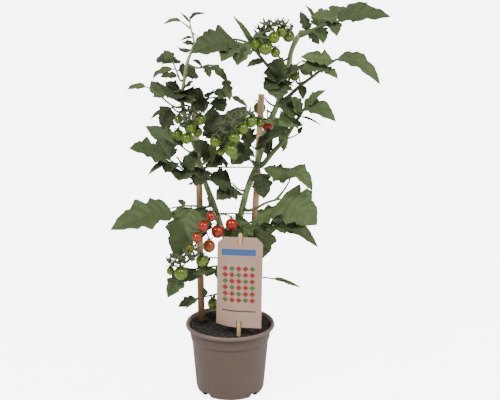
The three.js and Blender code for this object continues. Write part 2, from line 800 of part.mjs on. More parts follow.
        leaflets: [
          { at: 1, tip: [129, 148.5, -82], width: 49, arch: 20, neck: 0.03 },
          { at: 0.9, tip: [148, 175, -72], width: 12 },
          { at: 0.5, tip: [179, 181, -50], width: 45 },
          { at: 0.5, tip: [177, 157.5, -46], width: 30, arch: 16 },
          { at: 0.8, tip: [165, 173, -60], width: 29 },
          { at: 0.85, tip: [157, 139, -8], width: 36 },
          { at: 0.22, tip: [203, 184, -30], width: 31 },
          { at: 0.5, tip: [197, 160, -24], width: 42 },
        ],
      },
    ],
  },
  leaf_centre_back: {
    carrier: "left",
    branches: [
      {
        stalk: [[208, 160, 20], [212, 147, 32], [214, 136, 34]],
        leaflets: [
          { at: 1, tip: [211.5, 107, 70], width: 37, arch: 14 },
          { at: 0.9, tip: [204, 130, 62], width: 20 },
          { at: 0.7, tip: [247, 106, 84], width: 51, arch: 20 },
          { at: 0.4, tip: [226, 160, 62], width: 45, arch: 16 },
          { at: 0.75, tip: [240, 146, 94], width: 51 },
        ],
      },
    ],
  },
  leaf_centre_front: {
    carrier: "left",
    branches: [
      {
        stalk: [[206, 168, -6], [210, 158, -18]],
        leaflets: [
          { at: 1, tip: [193, 141, -30], width: 36, arch: 14 },
          { at: 0.95, tip: [217, 145, -30], width: 36, arch: 16 },
          { at: 0.9, tip: [222, 165, -30], width: 38, arch: 20 },
          { at: 0.35, tip: [195, 186, -36], width: 38, arch: 20 },
        ],
      },
    ],
  },
  leaf_centre_low: {
    carrier: "right",
    branches: [
      {
        stalk: [[240, 190, 0], [233, 184, -6]],
        leaflets: [
          { at: 1, tip: [208, 179, -24], width: 48, arch: 20 },
          { at: 0.6, tip: [216, 200, -34], width: 41 },
        ],
      },
    ],
  },
  leaf_right_inner: {
    carrier: "right",
    branches: [
      {
        stalk: [[257, 149, -4], [251, 146, -16]],
        leaflets: [
          { at: 1, tip: [231, 165, -32], width: 42 },
          { at: 0.65, tip: [283, 132, -46], width: 35, arch: 16 },
          { at: 0.95, tip: [240, 128, -26], width: 38 },
        ],
      },
    ],
  },
  leaf_right_back: {
    carrier: "right",
    branches: [
      {
        stalk: [[272, 138, 18], [277, 136, 32]],
        leaflets: [
          { at: 1, tip: [288, 143, 46], width: 42, arch: 16 },
          { at: 0.7, tip: [263, 151, 46], width: 40, arch: 20 },
          { at: 0.9, tip: [281, 118, 92], width: 42 },
          { at: 0.8, tip: [262, 146, 88], width: 42 },
        ],
      },
    ],
  },
  leaf_top_inner: {
    carrier: "right",
    branches: [
      {
        stalk: [[281, 81, -10], [278, 80, -24]],
        leaflets: [
          { at: 1, tip: [278, 100, -48], width: 45, arch: 16 },
          { at: 0.95, tip: [264, 90, -40], width: 32 },
          { at: 0.7, tip: [263, 73, -32], width: 36 },
          { at: 0.85, tip: [283, 57, -42], width: 43 },
          { at: 0.9, tip: [301, 69, -52], width: 38, arch: 20 },
        ],
      },
    ],
  },
  leaf_low_small: {
    carrier: "main",
    branches: [
      {
        stalk: [[219, 294, 4], [208, 296, -4], [197, 298, -10]],
        leaflets: [
          { at: 1, tip: [178, 307, -18], width: 20, arch: 25 },
          { at: 0.96, tip: [185, 309, -26], width: 7.8, lobes: 1 },
          { at: 0.75, tip: [204, 288, 2], width: 10, lobes: 1 },
        ],
      },
    ],
  },
  leaf_low_back: {
    carrier: "main",
    branches: [
      {
        stalk: [[217, 266, 0], [200, 268, -8], [184, 271, -12]],
        leaflets: [
          { at: 1, tip: [167.5, 298, -44], width: 32, arch: 14 },
          { at: 0.75, tip: [189, 282, -30], width: 32 },
          { at: 0.2, tip: [217, 279, -10], width: 22 },
          { at: 0.5, tip: [196, 258, 2], width: 29 },
          { at: 0.45, tip: [206, 277, -22], width: 30 },
        ],
      },
    ],
  },
  leaf_low_thin: {
    carrier: "main",
    branches: [
      {
        stalk: [[245, 274, 10], [262, 277, 6], [282, 280, 0]],
        leaflets: [
          { at: 1, tip: [302, 288, -34], width: 6, lobes: 1, roll: 30 },
          { at: 0.8, tip: [291, 283, 20], width: 7, lobes: 1 },
        ],
      },
    ],
  },
};

// Trusses of fruit
const TRUSSES = {
  truss_left: {
    carrier: "left",
    stalk: [[188, 106, -4], [192, 109, -18], [190, 116, -26], [188, 122, -28]],
    fruits: [
      { at: 0.55, centre: [200, 119.5, -26], radius: 7.8 },
      { at: 0.8, centre: [190, 128, -34], radius: 8 },
      { at: 0.7, centre: [178.5, 119.5, -22], radius: 6 },
      { at: 1, centre: [197.5, 132, -18], radius: 7 },
      { at: 1, centre: [178, 134.5, -26], radius: 7.4 },
      { at: 1, centre: [186.5, 138.5, -42], radius: 7.5 },
      { at: 0.6, centre: [195, 112, -36], radius: 0 },
    ],
  },
  truss_centre: {
    carrier: "right",
    stalk: [[257, 118, -14], [248, 112, -30], [237, 112, -40], [230, 122, -44], [228, 134, -44]],
    fruits: [
      { at: 0.4, centre: [251, 121.5, -46], radius: 8 },
      { at: 0.25, centre: [259.8, 122.5, -28], radius: 6.4 },
      { at: 0.55, centre: [243, 128.5, -54], radius: 7.9 },
      { at: 0.8, centre: [234.5, 138, -58], radius: 8.2 },
      { at: 0.85, centre: [215.5, 141.5, -46], radius: 8.1 },
      { at: 1, centre: [231, 150, -64], radius: 8.9 },
      { at: 1, centre: [233.5, 155, -44], radius: 6.4 },
      { at: 1, centre: [221, 151.5, -40], radius: 5.8 },
      { at: 0.62, centre: [229, 117, -56], radius: 0 },
    ],
  },
  truss_top: {
    carrier: "right",
    stalk: [[282, 60, -16], [271, 44, -30], [264, 32, -36], [272, 26, -38], [281, 27, -38]],
    fruits: [
      { at: 0.5, centre: [256.5, 43.5, -46], radius: 6.8 },
      { at: 0.6, centre: [265.5, 48.5, -52], radius: 8.8 },
      { at: 0.75, centre: [274, 37.5, -50], radius: 8 },
      { at: 0.95, centre: [281.5, 31.5, -38], radius: 7.6 },
      { at: 1, centre: [288.5, 36, -26], radius: 8.4 },
      { at: 0.35, centre: [275.5, 52.5, -40], radius: 6.8 },
      { at: 0.8, centre: [269, 31, -50], radius: 0 },
      { at: 1, centre: [285, 24, -42], radius: 0 },
    ],
  },
  truss_ripe: {
    carrier: "left",
    stalk: [
      [220, 216, -4], [213, 219, -26], [205, 228, -44],
      [198, 241, -50], [189, 252, -52], [176, 263, -52],
    ],
    fruits: [
      { at: 0.06, centre: [231.5, 224.5, -24], radius: 8.8, ripe: true },
      { at: 0.3, centre: [217.5, 231.5, -32], radius: 9.2, ripe: true },
      { at: 0.42, centre: [203, 226, -58], radius: 7.8, ripe: true },
      { at: 0.25, centre: [211, 216.5, -42], radius: 7, ripe: true },
      { at: 0.6, centre: [197, 237.5, -61], radius: 7.2, ripe: true },
      { at: 0.5, centre: [209, 246, -40], radius: 8.9, ripe: true },
      { at: 0.75, centre: [190.5, 248, -60], radius: 6 },
      { at: 0.75, centre: [202, 260.5, -48], radius: 8.4 },
      { at: 0.95, centre: [181, 273, -58], radius: 9.6 },
      { at: 1, centre: [170.5, 271, -48], radius: 5.8 },
      { at: 0.86, centre: [184, 260, -64], radius: 0 },
    ],
  },
  truss_low: {
    carrier: "main",
    stalk: [[224, 293, 2], [217, 294, -4]],
    fruits: [{ at: 1, centre: [213, 303.5, -6], radius: 8 }],
  },
  truss_right: {
    carrier: "right",
    stalk: [[270, 112, 2], [267, 110, -2]],
    fruits: [{ at: 1, centre: [267.7, 125.4, -7], radius: 8.1, ripe: true }],
  },
  truss_behind_cane: {
    carrier: "right",
    stalk: [[269, 103, 12], [265, 98, 28]],
    fruits: [{ at: 1, centre: [259.5, 108, 34], radius: 8.8 }],
  },
  truss_upper: {
    carrier: "right",
    stalk: [[292, 68, 2], [299, 63, 10]],
    fruits: [
      { at: 0.8, centre: [294.5, 76, 12], radius: 6.8 },
      { at: 1, centre: [306, 69, 16], radius: 8.8 },
      { at: 0.8, centre: [300, 84, 10], radius: 0 },
    ],
  },
};

// Canes and rungs
const LEFT_CANE = [
  [201.5, 319.5, CANE_DEPTH],
  [200, 250, CANE_DEPTH],
  [199.3, 190, CANE_DEPTH],
  [197.6, 153, CANE_DEPTH],
  [194, 108, CANE_DEPTH],
  [194.3, 90.5, CANE_DEPTH],
].map(seen);
const RIGHT_CANE = [
  [249.5, 319.5, CANE_DEPTH],
  [252.8, 250, CANE_DEPTH],
  [256, 198, CANE_DEPTH],
  [258.4, 153, CANE_DEPTH],
  [261.4, 94.5, CANE_DEPTH],
].map(seen);
const RUNG_ROWS = { rung_low: 258.5, rung_middle: 213.5, rung_top: 167.5 };
const RUNG_SEAT = 2.2;
const RUNG_SIDES = 6;
const HEIGHT_TRIES = 300;

function intoSoil(points) {
  const [foot, next] = points;
  const step = foot.clone().sub(next).normalize();
  return [foot.clone().addScaledVector(step, ROOTED), ...points];
}

function atHeight(curve, height) {
  let best = curve.getPoint(0);
  for (let i = 1; i <= HEIGHT_TRIES; i += 1) {
    const here = curve.getPoint(i / HEIGHT_TRIES);
    if (Math.abs(here.z - height) < Math.abs(best.z - height)) best = here;
  }
  return best;
}

function canesAndRungs() {
  const left = curveThrough(intoSoil(LEFT_CANE));
  const right = curveThrough(intoSoil(RIGHT_CANE));
  const solids = {
    cane_left: limb(left, CANE_FOOT_RADIUS, CANE_TOP_RADIUS, CANE_SIDES, CANE_STEPS),
    cane_right: limb(right, CANE_FOOT_RADIUS, CANE_TOP_RADIUS, CANE_SIDES, CANE_STEPS),
  };
  for (const [name, row] of Object.entries(RUNG_ROWS)) {
    const height = seen([VIEW_AXIS, row, CANE_DEPTH]).z;
    const start = atHeight(left, height);
    const end = atHeight(right, height);
    const way = end.clone().sub(start).normalize();
    start.addScaledVector(way, RUNG_SEAT);
    end.addScaledVector(way, -RUNG_SEAT);
    solids[name] = straight(start, end, RUNG_RADIUS, RUNG_RADIUS, RUNG_SIDES);
    start.addScaledVector(way, -CLEARANCE);
    end.addScaledVector(way, CLEARANCE);
    const hole = straight(start, end, RUNG_RADIUS + CLEARANCE, RUNG_RADIUS + CLEARANCE, RUNG_SIDES);
    solids.cane_left = solids.cane_left.subtract(hole);
    solids.cane_right = solids.cane_right.subtract(hole);
  }
  return { solids, holes: [left, right] };
}

// The pot, turned from its profile, with notches cut in its foot
const NOTCH_CUT = 24;
function potSolid() {
  const rim = RIM_DIAMETER / 2;
  const collar = COLLAR_DIAMETER / 2;
  const waist = WAIST_DIAMETER / 2;
  const heel = HEEL_DIAMETER / 2;
  const foot = FOOT_DIAMETER / 2;
  const top = POT_HEIGHT;
  const profile = [
    [0, 0],
    [foot - 1, 0],
    [heel - 1.2, 4],
    [heel, 9.5],
    [waist, COLLAR_BOTTOM - 2],
    [waist + 1.6, COLLAR_BOTTOM],
    [collar, top - LIP_HEIGHT - 1.5],
    [collar + 1.8, top - LIP_HEIGHT],
    [rim - 0.4, top - LIP_HEIGHT + 1.6],
    [rim, top - 3],
    [rim - 2, top],
    [rim - 4.2, top - 0.9],
    [collar + 0.4 - WALL, top - LIP_HEIGHT],
    [waist + 1.4 - WALL, COLLAR_BOTTOM],
    [heel - WALL, FLOOR + 6],
    [foot - WALL, FLOOR],
    [0, FLOOR],
  ].map(([radius, height]) => new THREE.Vector2(radius, height));
  let pot = solidOf(new THREE.LatheGeometry(profile, POT_SIDES).rotateX(Math.PI / 2));
  for (let i = 0; i < NOTCHES; i += 1) {
    const cutter = new THREE.BoxGeometry(NOTCH_CUT, NOTCH_WIDTH, NOTCH_HEIGHT * 2);
    cutter.translate(foot + 4, 0, 0);
    cutter.rotateZ(((i + 0.5) / NOTCHES) * Math.PI * 2);
    pot = pot.subtract(solidOf(cutter));
  }
  return pot;
}

// The soil fills the pot and its surface is lumpy, with plain holes where stems, canes and splint stand in it
const SOIL_RINGS = [1, 0.8, 0.52, 0.26];
const SOIL_SIDES = 22;
const SOIL_EDGE = 1;
const LUMP_SEEDS = 61;
function soilSolid(holes) {
  const waist = WAIST_DIAMETER / 2;
  const heel = HEEL_DIAMETER / 2;
  const outer = COLLAR_DIAMETER / 2 - WALL - SOIL_EDGE;
  const vertices = [];
  const triangles = [];
  const rings = [
    [FOOT_DIAMETER / 2 - WALL - 1.2, FLOOR + CLEARANCE],
    [heel - WALL - 1.1, FLOOR + 8],
    [waist - WALL - 1.1, COLLAR_BOTTOM - 2],
    ...SOIL_RINGS.map((share) => [outer * share, SOIL_LEVEL]),
  ];
  const edge = rings.length - SOIL_RINGS.length;
  rings.forEach(([radius, height], ring) => {
    for (let i = 0; i < SOIL_SIDES; i += 1) {
      const turn = (i / SOIL_SIDES) * Math.PI * 2;
      const lump = ring > edge ? (chance(ring * LUMP_SEEDS + i) - 0.5) * 2 * SOIL_LUMPS : 0;
      vertices.push(new THREE.Vector3(Math.cos(turn) * radius, Math.sin(turn) * radius, height + lump));
    }
  });
  const middleBelow = vertices.push(new THREE.Vector3(0, 0, FLOOR + CLEARANCE)) - 1;
  const middleAbove = vertices.push(new THREE.Vector3(0, 0, SOIL_LEVEL + SOIL_LUMPS)) - 1;
  const last = (rings.length - 1) * SOIL_SIDES;
  for (let i = 0; i < SOIL_SIDES; i += 1) {
    const j = (i + 1) % SOIL_SIDES;
    triangles.push([middleBelow, j, i], [middleAbove, last + i, last + j]);
    for (let ring = 0; ring < rings.length - 1; ring += 1) {
      const a = ring * SOIL_SIDES + i;
      const b = ring * SOIL_SIDES + j;
      triangles.push([a, b, b + SOIL_SIDES], [a, b + SOIL_SIDES, a + SOIL_SIDES]);
    }
  }
  return holes.reduce((soil, hole) => soil.subtract(hole), solidOf(fromVertices(vertices, triangles)));
}

// The card label is bowed round the splint, which shows in front of it above the upper slot and below the
// lower one.
const SPLINT_FOOT = seen([238.6, 336, -44]);
const SPLINT_TOP = seen([240.4, 233.5, -44]);
const CARD_FOOT_GAP = 14;
const CARD_TOP_GAP = 5;
const SLOT_UP = 9;
const SLOT_WIDTH = 6;
const SLOT_HEIGHT = 3;
const CARD_BACK_BEND = 15;
const CARD_TURN = THREE.MathUtils.degToRad(6);
const CARD_OFFSET = 1.95;
const CREASE = 1.5;
const SLOT_PLAY = 0.6;
const CARD_ROWS = [0.32, 0.6];
const CARD_COLUMNS = [0.75, 0.45];
const SLOT_CUT = 16;
const CUT_THROUGH = 40;

function splintPoint(fromFoot) {
  const way = SPLINT_TOP.clone().sub(SPLINT_FOOT).normalize();
  return SPLINT_FOOT.clone().addScaledVector(way, fromFoot);
}

function cardPoint(across, up, height) {
  const share = up / height;
  const axis = splintPoint(CARD_FOOT_GAP + up);
  const wing = Math.max(0, -across / (CARD_WIDTH / 2));
  const bend = CARD_BACK_BEND * wing ** 2 * (1 - share) ** 1.5;
  const behindSplint = up < SLOT_UP || up > height - SLOT_UP;
  const tongue = behindSplint && Math.abs(across) < SLOT_WIDTH / 2 + 1 ? CARD_OFFSET : -CARD_OFFSET;
  const slack = behindSplint && Math.abs(across) < SLOT_WIDTH / 2 + 1 ? 0 : -across * Math.sin(CARD_TURN);
  return new THREE.Vector3(axis.x + across, axis.y + bend + tongue + slack, axis.z);
}

function cardSolid() {
  const height = SPLINT_TOP.distanceTo(SPLINT_FOOT) - CARD_FOOT_GAP - CARD_TOP_GAP;
  const top = splintPoint(CARD_FOOT_GAP + height);
  const edge = SLOT_WIDTH / 2;
  const half = CARD_WIDTH / 2;
  const wings = CARD_COLUMNS.map((share) => -half * share);
  const columns = [-half, ...wings, -edge - CREASE, -edge, edge, edge + CREASE, half];
  const atSlot = (up) => [up - SLOT_PLAY, up + SLOT_PLAY];
  const between = CARD_ROWS.map((share) => height * share);
  const rows = [0, ...atSlot(SLOT_UP), ...between, ...atSlot(height - SLOT_UP), height];
  const count = columns.length * rows.length;
  const vertices = [-1, 1].flatMap((face) =>
    rows.flatMap((up) =>
      columns.map((across) => {
        const point = cardPoint(across, up, height);
        point.y += (face * CARD_THICKNESS) / 2;
        return point;
      }),
    ),
  );
  const triangles = [];
  const wide = columns.length;
  for (let i = 0; i < rows.length - 1; i += 1)
    for (let j = 0; j < wide - 1; j += 1) {
      const a = i * wide + j;
      const back = count + a;
      triangles.push([a, a + 1, a + wide + 1], [a, a + wide + 1, a + wide]);
      triangles.push([back, back + wide + 1, back + 1], [back, back + wide, back + wide + 1]);
    }
  const rim = [];
  for (let j = 0; j < wide - 1; j += 1) rim.push(j);
  for (let i = 0; i < rows.length - 1; i += 1) rim.push(i * wide + wide - 1);
  for (let j = wide - 1; j > 0; j -= 1) rim.push((rows.length - 1) * wide + j);
  for (let i = rows.length - 1; i > 0; i -= 1) rim.push(i * wide);
  rim.forEach((a, i) => {
    const b = rim[(i + 1) % rim.length];
    triangles.push([a, b + count, b], [a, a + count, b + count]);
  });
  let card = solidOf(fromVertices(vertices, triangles));
  for (const up of [SLOT_UP, height - SLOT_UP]) {
    const middle = cardPoint(0, up, height);
    const slot = new THREE.BoxGeometry(SLOT_WIDTH + SLOT_PLAY, SLOT_CUT, SLOT_HEIGHT);
    card = card.subtract(solidOf(slot.translate(middle.x, middle.y, middle.z)));
  }
  for (const side of [-1, 1]) {
    const corner = new THREE.BoxGeometry(CARD_CORNER * Math.SQRT2, CUT_THROUGH, CARD_CORNER * Math.SQRT2);
    corner.rotateY(Math.PI / 4);
    corner.translate(top.x + side * half, top.y, top.z);
    card = card.subtract(solidOf(corner));
  }
  return card;
}

const SPLINT_END = 2;
const SPLINT_END_SIDES = 5;
function splintShape(extra) {
  const width = SPLINT_WIDTH / 2 + extra;
  const outline = new THREE.Shape();
  const way = SPLINT_TOP.clone().sub(SPLINT_FOOT);
  const length = way.length() + ROOTED;
  outline.moveTo(-width, -ROOTED);
  outline.lineTo(width, -ROOTED);
  const shoulder = length - ROOTED - SPLINT_END;
  outline.lineTo(width, shoulder);
  outline.absarc(0, shoulder, width, 0, Math.PI, false);
  const splint = new THREE.ExtrudeGeometry(outline, {
    depth: SPLINT_THICKNESS + 2 * extra,
    bevelEnabled: false,
    curveSegments: SPLINT_END_SIDES,
  });
  splint.translate(0, 0, -SPLINT_THICKNESS / 2 - extra);
  splint.rotateX(Math.PI / 2);
  splint.applyQuaternion(new THREE.Quaternion().setFromUnitVectors(UP, way.normalize()));
  splint.translate(SPLINT_FOOT.x, SPLINT_FOOT.y, SPLINT_FOOT.z);
  return solidOf(splint);
}

// Putting it together
const plant = new THREE.Group();

function add(name, solid, material) {
  const mesh = new THREE.Mesh(geometryOf(solid), material);
  mesh.name = name;
  plant.add(mesh);
}

const trellis = canesAndRungs();
const grownStem = stemSolid(CLEARANCE);
const caneHoles = trellis.holes.map((curve) =>
  limb(curve, CANE_FOOT_RADIUS + CLEARANCE, CANE_TOP_RADIUS + CLEARANCE, CANE_SIDES, CANE_STEPS),
);

add("pot", potSolid(), colours.pot);
add("soil", soilSolid([grownStem, ...caneHoles, splintShape(CLEARANCE)]), colours.soil);
for (const [name, solid] of Object.entries(trellis.solids)) add(name, solid, colours.cane);
add("card_label", cardSolid(), colours.card);
add("splint", splintShape(0), colours.splint);
add("stem", stemSolid(0), colours.stem);
Object.entries(LEAVES).forEach(([name, spec], i) => {
  const solid = wholeOf(leaf(spec.branches, i * LEAF_SEEDS, carriers[spec.carrier]).subtract(grownStem));
  add(name, solid, name.startsWith("shoot") ? colours.stem : colours.leaf);
});
Object.entries(TRUSSES).forEach(([name, spec], i) => {
  const solid = wholeOf(truss(spec, i * TRUSS_SEEDS, carriers[spec.carrier]).subtract(grownStem));
  add(name, solid, colours.unripe);
  spec.fruits.filter((one) => one.ripe).forEach((one, j) => {
    add(`${name}_tomato_${j + 1}`, ripeBody(one), colours.ripe);
  });
});

export default plant;
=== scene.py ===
# %% [markdown]
# # A cherry tomato plant in a nursery pot
# The real thing is a young cordon tomato with two leaders, tied to a ladder of two wooden canes and sold in
# a thin plastic pot, with a kraft card threaded on a wooden splint. The frame holds every piece at its real
# size. This lesson keeps each form where the frame has it, models it finer, and gives it its finish.

# %% Load the frame
import math

import bmesh
import bpy
from mathutils import Matrix, Vector


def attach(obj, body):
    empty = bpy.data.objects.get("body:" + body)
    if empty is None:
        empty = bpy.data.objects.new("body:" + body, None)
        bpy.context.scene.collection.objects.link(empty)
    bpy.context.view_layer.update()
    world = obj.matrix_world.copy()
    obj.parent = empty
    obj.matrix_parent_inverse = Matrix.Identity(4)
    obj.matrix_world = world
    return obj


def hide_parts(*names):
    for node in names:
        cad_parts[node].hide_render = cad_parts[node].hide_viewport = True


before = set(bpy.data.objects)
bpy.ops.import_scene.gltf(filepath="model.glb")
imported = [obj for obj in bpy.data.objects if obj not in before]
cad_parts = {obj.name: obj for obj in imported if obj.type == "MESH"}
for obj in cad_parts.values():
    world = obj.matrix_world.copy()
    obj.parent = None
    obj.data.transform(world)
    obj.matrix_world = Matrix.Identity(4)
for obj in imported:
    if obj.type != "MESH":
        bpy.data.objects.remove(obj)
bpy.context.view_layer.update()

print("frame nodes:", len(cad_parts))

# %% [markdown]
# ## The viewpoint
# The plant's places were read from a picture: a point is across and down in its pixels, and so many
# millimetres behind the pot's axis. One function turns such a point into metres, and the camera stands at the
# same viewpoint, so what is seen lines up. The shift is there because the pot stands left of the middle.

# %% Camera and places
MM = 0.001
VIEW_DISTANCE = 2100
VIEW_HEIGHT = 949
VIEW_PITCH = math.radians(17.4)
FOCAL_PIXELS = 1545
PICTURE_WIDTH = 500
VIEW_AXIS = 230.2
VIEW_MIDDLE = 200
VIEW_REACH = 20
SENSOR = 36


def seen(across, down, behind):
    """The place, in metres, that is seen at a pixel and lies so many millimetres behind the pot's axis."""
    rise = (VIEW_MIDDLE - down) / FOCAL_PIXELS
    sine, cosine = math.sin(VIEW_PITCH), math.cos(VIEW_PITCH)
    away = behind + VIEW_DISTANCE
    lift = away * (rise * cosine - sine) / (cosine + rise * sine)
    reach = away * cosine - lift * sine
    return Vector(((across - VIEW_AXIS) / FOCAL_PIXELS * reach, behind, VIEW_HEIGHT + lift)) * MM


bpy.ops.object.camera_add(
    location=(0, -VIEW_DISTANCE * MM, VIEW_HEIGHT * MM),
    rotation=(math.radians(90) - VIEW_PITCH, 0, 0),
)
camera = bpy.context.object
camera.name = "view"
camera.data.lens = FOCAL_PIXELS / PICTURE_WIDTH * SENSOR
camera.data.sensor_width = SENSOR
camera.data.shift_x = (PICTURE_WIDTH / 2 - VIEW_AXIS) / PICTURE_WIDTH
camera.data.clip_end = VIEW_REACH
bpy.context.scene.camera = camera
print("lens, mm:", round(camera.data.lens, 1))

# %% [markdown]
# ## Helpers
# Operators act on all that is selected, so each step starts with nothing selected. A finished piece rides on
# the frame's one body and stands for the node that it replaces.


# %% Helpers for pieces
def deselect():
    bpy.ops.object.select_all(action="DESELECT")


def activate(piece):
    deselect()
    piece.select_set(True)
    bpy.context.view_layer.objects.active = piece


def apply_place():
    """Puts the selected piece's place, turn and scale into its mesh."""
    bpy.ops.object.transform_apply(location=True, rotation=True, scale=True)


def joined(parts, name):
    """Several mesh objects as one piece."""
    deselect()
    for part in parts:
        part.select_set(True)
    bpy.context.view_layer.objects.active = parts[0]
    if len(parts) > 1:
        bpy.ops.object.join()
    piece = bpy.context.object
    piece.name = name
    return piece


def modify(piece, kind, **settings):
    """Adds a modifier with its settings and applies it."""
    activate(piece)
    modifier = piece.modifiers.new(kind.lower(), kind)
    for key, value in settings.items():
        setattr(modifier, key, value)
    bpy.ops.object.modifier_apply(modifier=modifier.name)


def round_edges(piece, width, degrees, segments=2):
    """Bevels the edges that are sharper than so many degrees. The width is in millimetres."""
    modify(piece, "BEVEL", width=width * MM, segments=segments, limit_method="ANGLE",
           angle_limit=math.radians(degrees))


def block(sizes, place=(0, 0, 0), turn=0):
    """A box with its sizes in millimetres, at a place in metres, turned about Z."""
    deselect()
    bpy.ops.mesh.primitive_cube_add(size=1, location=place, rotation=(0, 0, turn))
    made = bpy.context.object
    made.scale = [size * MM for size in sizes]
    apply_place()
    return made


def cut(piece, cutter):
    """Takes the cutter's shape out of a piece, and the cutter out of the scene."""
    modify(piece, "BOOLEAN", operation="DIFFERENCE", object=cutter, solver="EXACT")
    bpy.data.objects.remove(cutter)


def dress(piece, node, slot, *materials, smooth=40):
    """Puts a piece at the origin, gives it its finish, and hands it over to the frame."""
    activate(piece)
    apply_place()
    bpy.ops.object.shade_smooth_by_angle(angle=math.radians(smooth))
    piece.data.materials.clear()
    for material in materials:
        piece.data.materials.append(material)
    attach(piece, "root")
    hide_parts(node)


def copy_of(piece, name):
    """A copy with a mesh of its own."""
    twin = piece.copy()
    twin.data = piece.data.copy()
    twin.name = name
    bpy.context.scene.collection.objects.link(twin)
    return twin


def chance(seed):
    """A number from 0 to 1 that depends only on its seed."""
    value = math.sin(seed * 12.9898 + 4.137) * 43758.5453
    return value - math.floor(value)


def mix(a, b, share):
    return a + (b - a) * share


# %% [markdown]
# A limb of the plant, a cane or a fruit's stalk is a round bar along a smooth line. The line goes through its
# points as in the frame, and is walked by its length. Blender draws it as a Bezier curve: a third of the
# tangent at each point gives the same line, the point's radius makes the taper, and a round bevel the bar.


# %% Smooth lines and bars along them
class Path:
    """A smooth line through points."""

    SAMPLES = 200

    def __init__(self, points):
        self.points = list(points)
        ends = [2 * points[0] - points[1], *points, 2 * points[-1] - points[-2]]
        self.tangents = [(ends[i + 2] - ends[i]) / 2 for i in range(len(points))]
        self.fine = [self.point(i / self.SAMPLES) for i in range(self.SAMPLES + 1)]
        self.walked = [0.0]
        for a, b in zip(self.fine, self.fine[1:]):
            self.walked.append(self.walked[-1] + (b - a).length)

    def point(self, share):
        place = share * (len(self.points) - 1)
        i = min(int(place), len(self.points) - 2)
        t = place - i
        a, b = self.points[i], self.points[i + 1]
        start, end = self.tangents[i], self.tangents[i + 1]
        curl = 3 * (b - a) - 2 * start - end
        return a + start * t + curl * t**2 + (2 * (a - b) + start + end) * t**3

    def at(self, share):
        """The point at a share of the line's length."""
        target = share * self.walked[-1]
        i = next((k for k, run in enumerate(self.walked[1:]) if run >= target), self.SAMPLES - 1)
        gap = self.walked[i + 1] - self.walked[i]
        return self.fine[i].lerp(self.fine[i + 1], min(1.0, (target - self.walked[i]) / gap))

    def nearest(self, place):
        return min(self.fine, key=lambda here: (here - place).length)


def bars(name, lines, roundness=2, steps=5):
    """One piece of round bars, each a path and the radius in millimetres at every point of it."""
    deselect()
    bpy.ops.curve.primitive_bezier_curve_add(location=(0, 0, 0))
    piece = bpy.context.object
    piece.name = name
    curve = piece.data
    curve.splines.clear()
    curve.bevel_depth = MM
    curve.bevel_resolution = roundness
    curve.resolution_u = steps
    curve.use_fill_caps = True
    for path, radii in lines:
        spline = curve.splines.new("BEZIER")
        spline.bezier_points.add(len(path.points) - 1)
        for knot, place, tangent, radius in zip(spline.bezier_points, path.points, path.tangents, radii):
            knot.handle_left_type = knot.handle_right_type = "FREE"
            knot.co = place
            knot.handle_left = place - tangent / 3
            knot.handle_right = place + tangent / 3
            knot.radius = radius
    activate(piece)
    bpy.ops.object.convert(target="MESH")
    return bpy.context.object


def taper(path, start, end):
    count = len(path.points)
    return [mix(start, end, i / (count - 1)) for i in range(count)]


# %% [markdown]
# ## Shared shader effects
# Nothing on the plant or the pot has one flat colour. Two effects turn up in nearly every finish, so each is
# a node group: mottle blends two colours by a soft noise, and relief gives the small bumps of a surface.
# Both read the object's own coordinates, in metres, so a pattern stays put and keeps its size. Short
# functions add the nodes that most finishes need, such as a mix of two colours or a mask that fades out.


# %% Node helpers
def colour(code):
    """A linear colour from a hex code."""
    channels = [int(code[i : i + 2], 16) / 255 for i in (1, 3, 5)]
    return tuple(c / 12.92 if c <= 0.04045 else ((c + 0.055) / 1.055) ** 2.4 for c in channels) + (1.0,)


def add_node(tree, kind, inputs=None, **settings):
    """A node with its settings. An input is a value, or another node's output that is linked to it."""
    made = tree.nodes.new(kind)
    for key, value in settings.items():
        setattr(made, key, value)
    for key, value in (inputs or {}).items():
        if isinstance(value, bpy.types.NodeSocket):
            tree.links.new(value, made.inputs[key])
        else:
            made.inputs[key].default_value = value
    return made


def maths(tree, operation, a, b=0.0, clamp=False):
    made = add_node(tree, "ShaderNodeMath", {0: a, 1: b}, operation=operation, use_clamp=clamp)
    return made.outputs[0]


def times(tree, a, b):
    return maths(tree, "MULTIPLY", a, b)


def distance(tree, a, b):
    """How far apart two values are."""
    return maths(tree, "ABSOLUTE", maths(tree, "SUBTRACT", a, b))


def fading(tree, away, reach):
    """1 where away is 0, falling to 0 where it is the reach."""
    return maths(tree, "SUBTRACT", 1.0, maths(tree, "DIVIDE", away, reach), clamp=True)


def rising(tree, value, start, slope):
    """0 up to a start, then growing by the slope up to 1."""
    return maths(tree, "MULTIPLY", maths(tree, "SUBTRACT", value, start), slope, clamp=True)


def ranged(tree, value, low, high):
    """A value from 0 to 1, stretched to lie between low and high."""
    return add_node(tree, "ShaderNodeMapRange", {0: value, 3: low, 4: high}).outputs[0]


def parts_of(tree, vector):
    """The three numbers of a vector."""
    return add_node(tree, "ShaderNodeSeparateXYZ", {0: vector}).outputs


def stretched(tree, place, scale):
    """Coordinates scaled by different amounts, for a pattern that runs one way."""
    return add_node(tree, "ShaderNodeMapping", {"Vector": place, "Scale": scale}).outputs[0]


def blended(tree, share, first, second):
    """Two colours mixed by a share."""
    return add_node(tree, "ShaderNodeMix", {0: share, 6: first, 7: second}, data_type="RGBA").outputs[2]


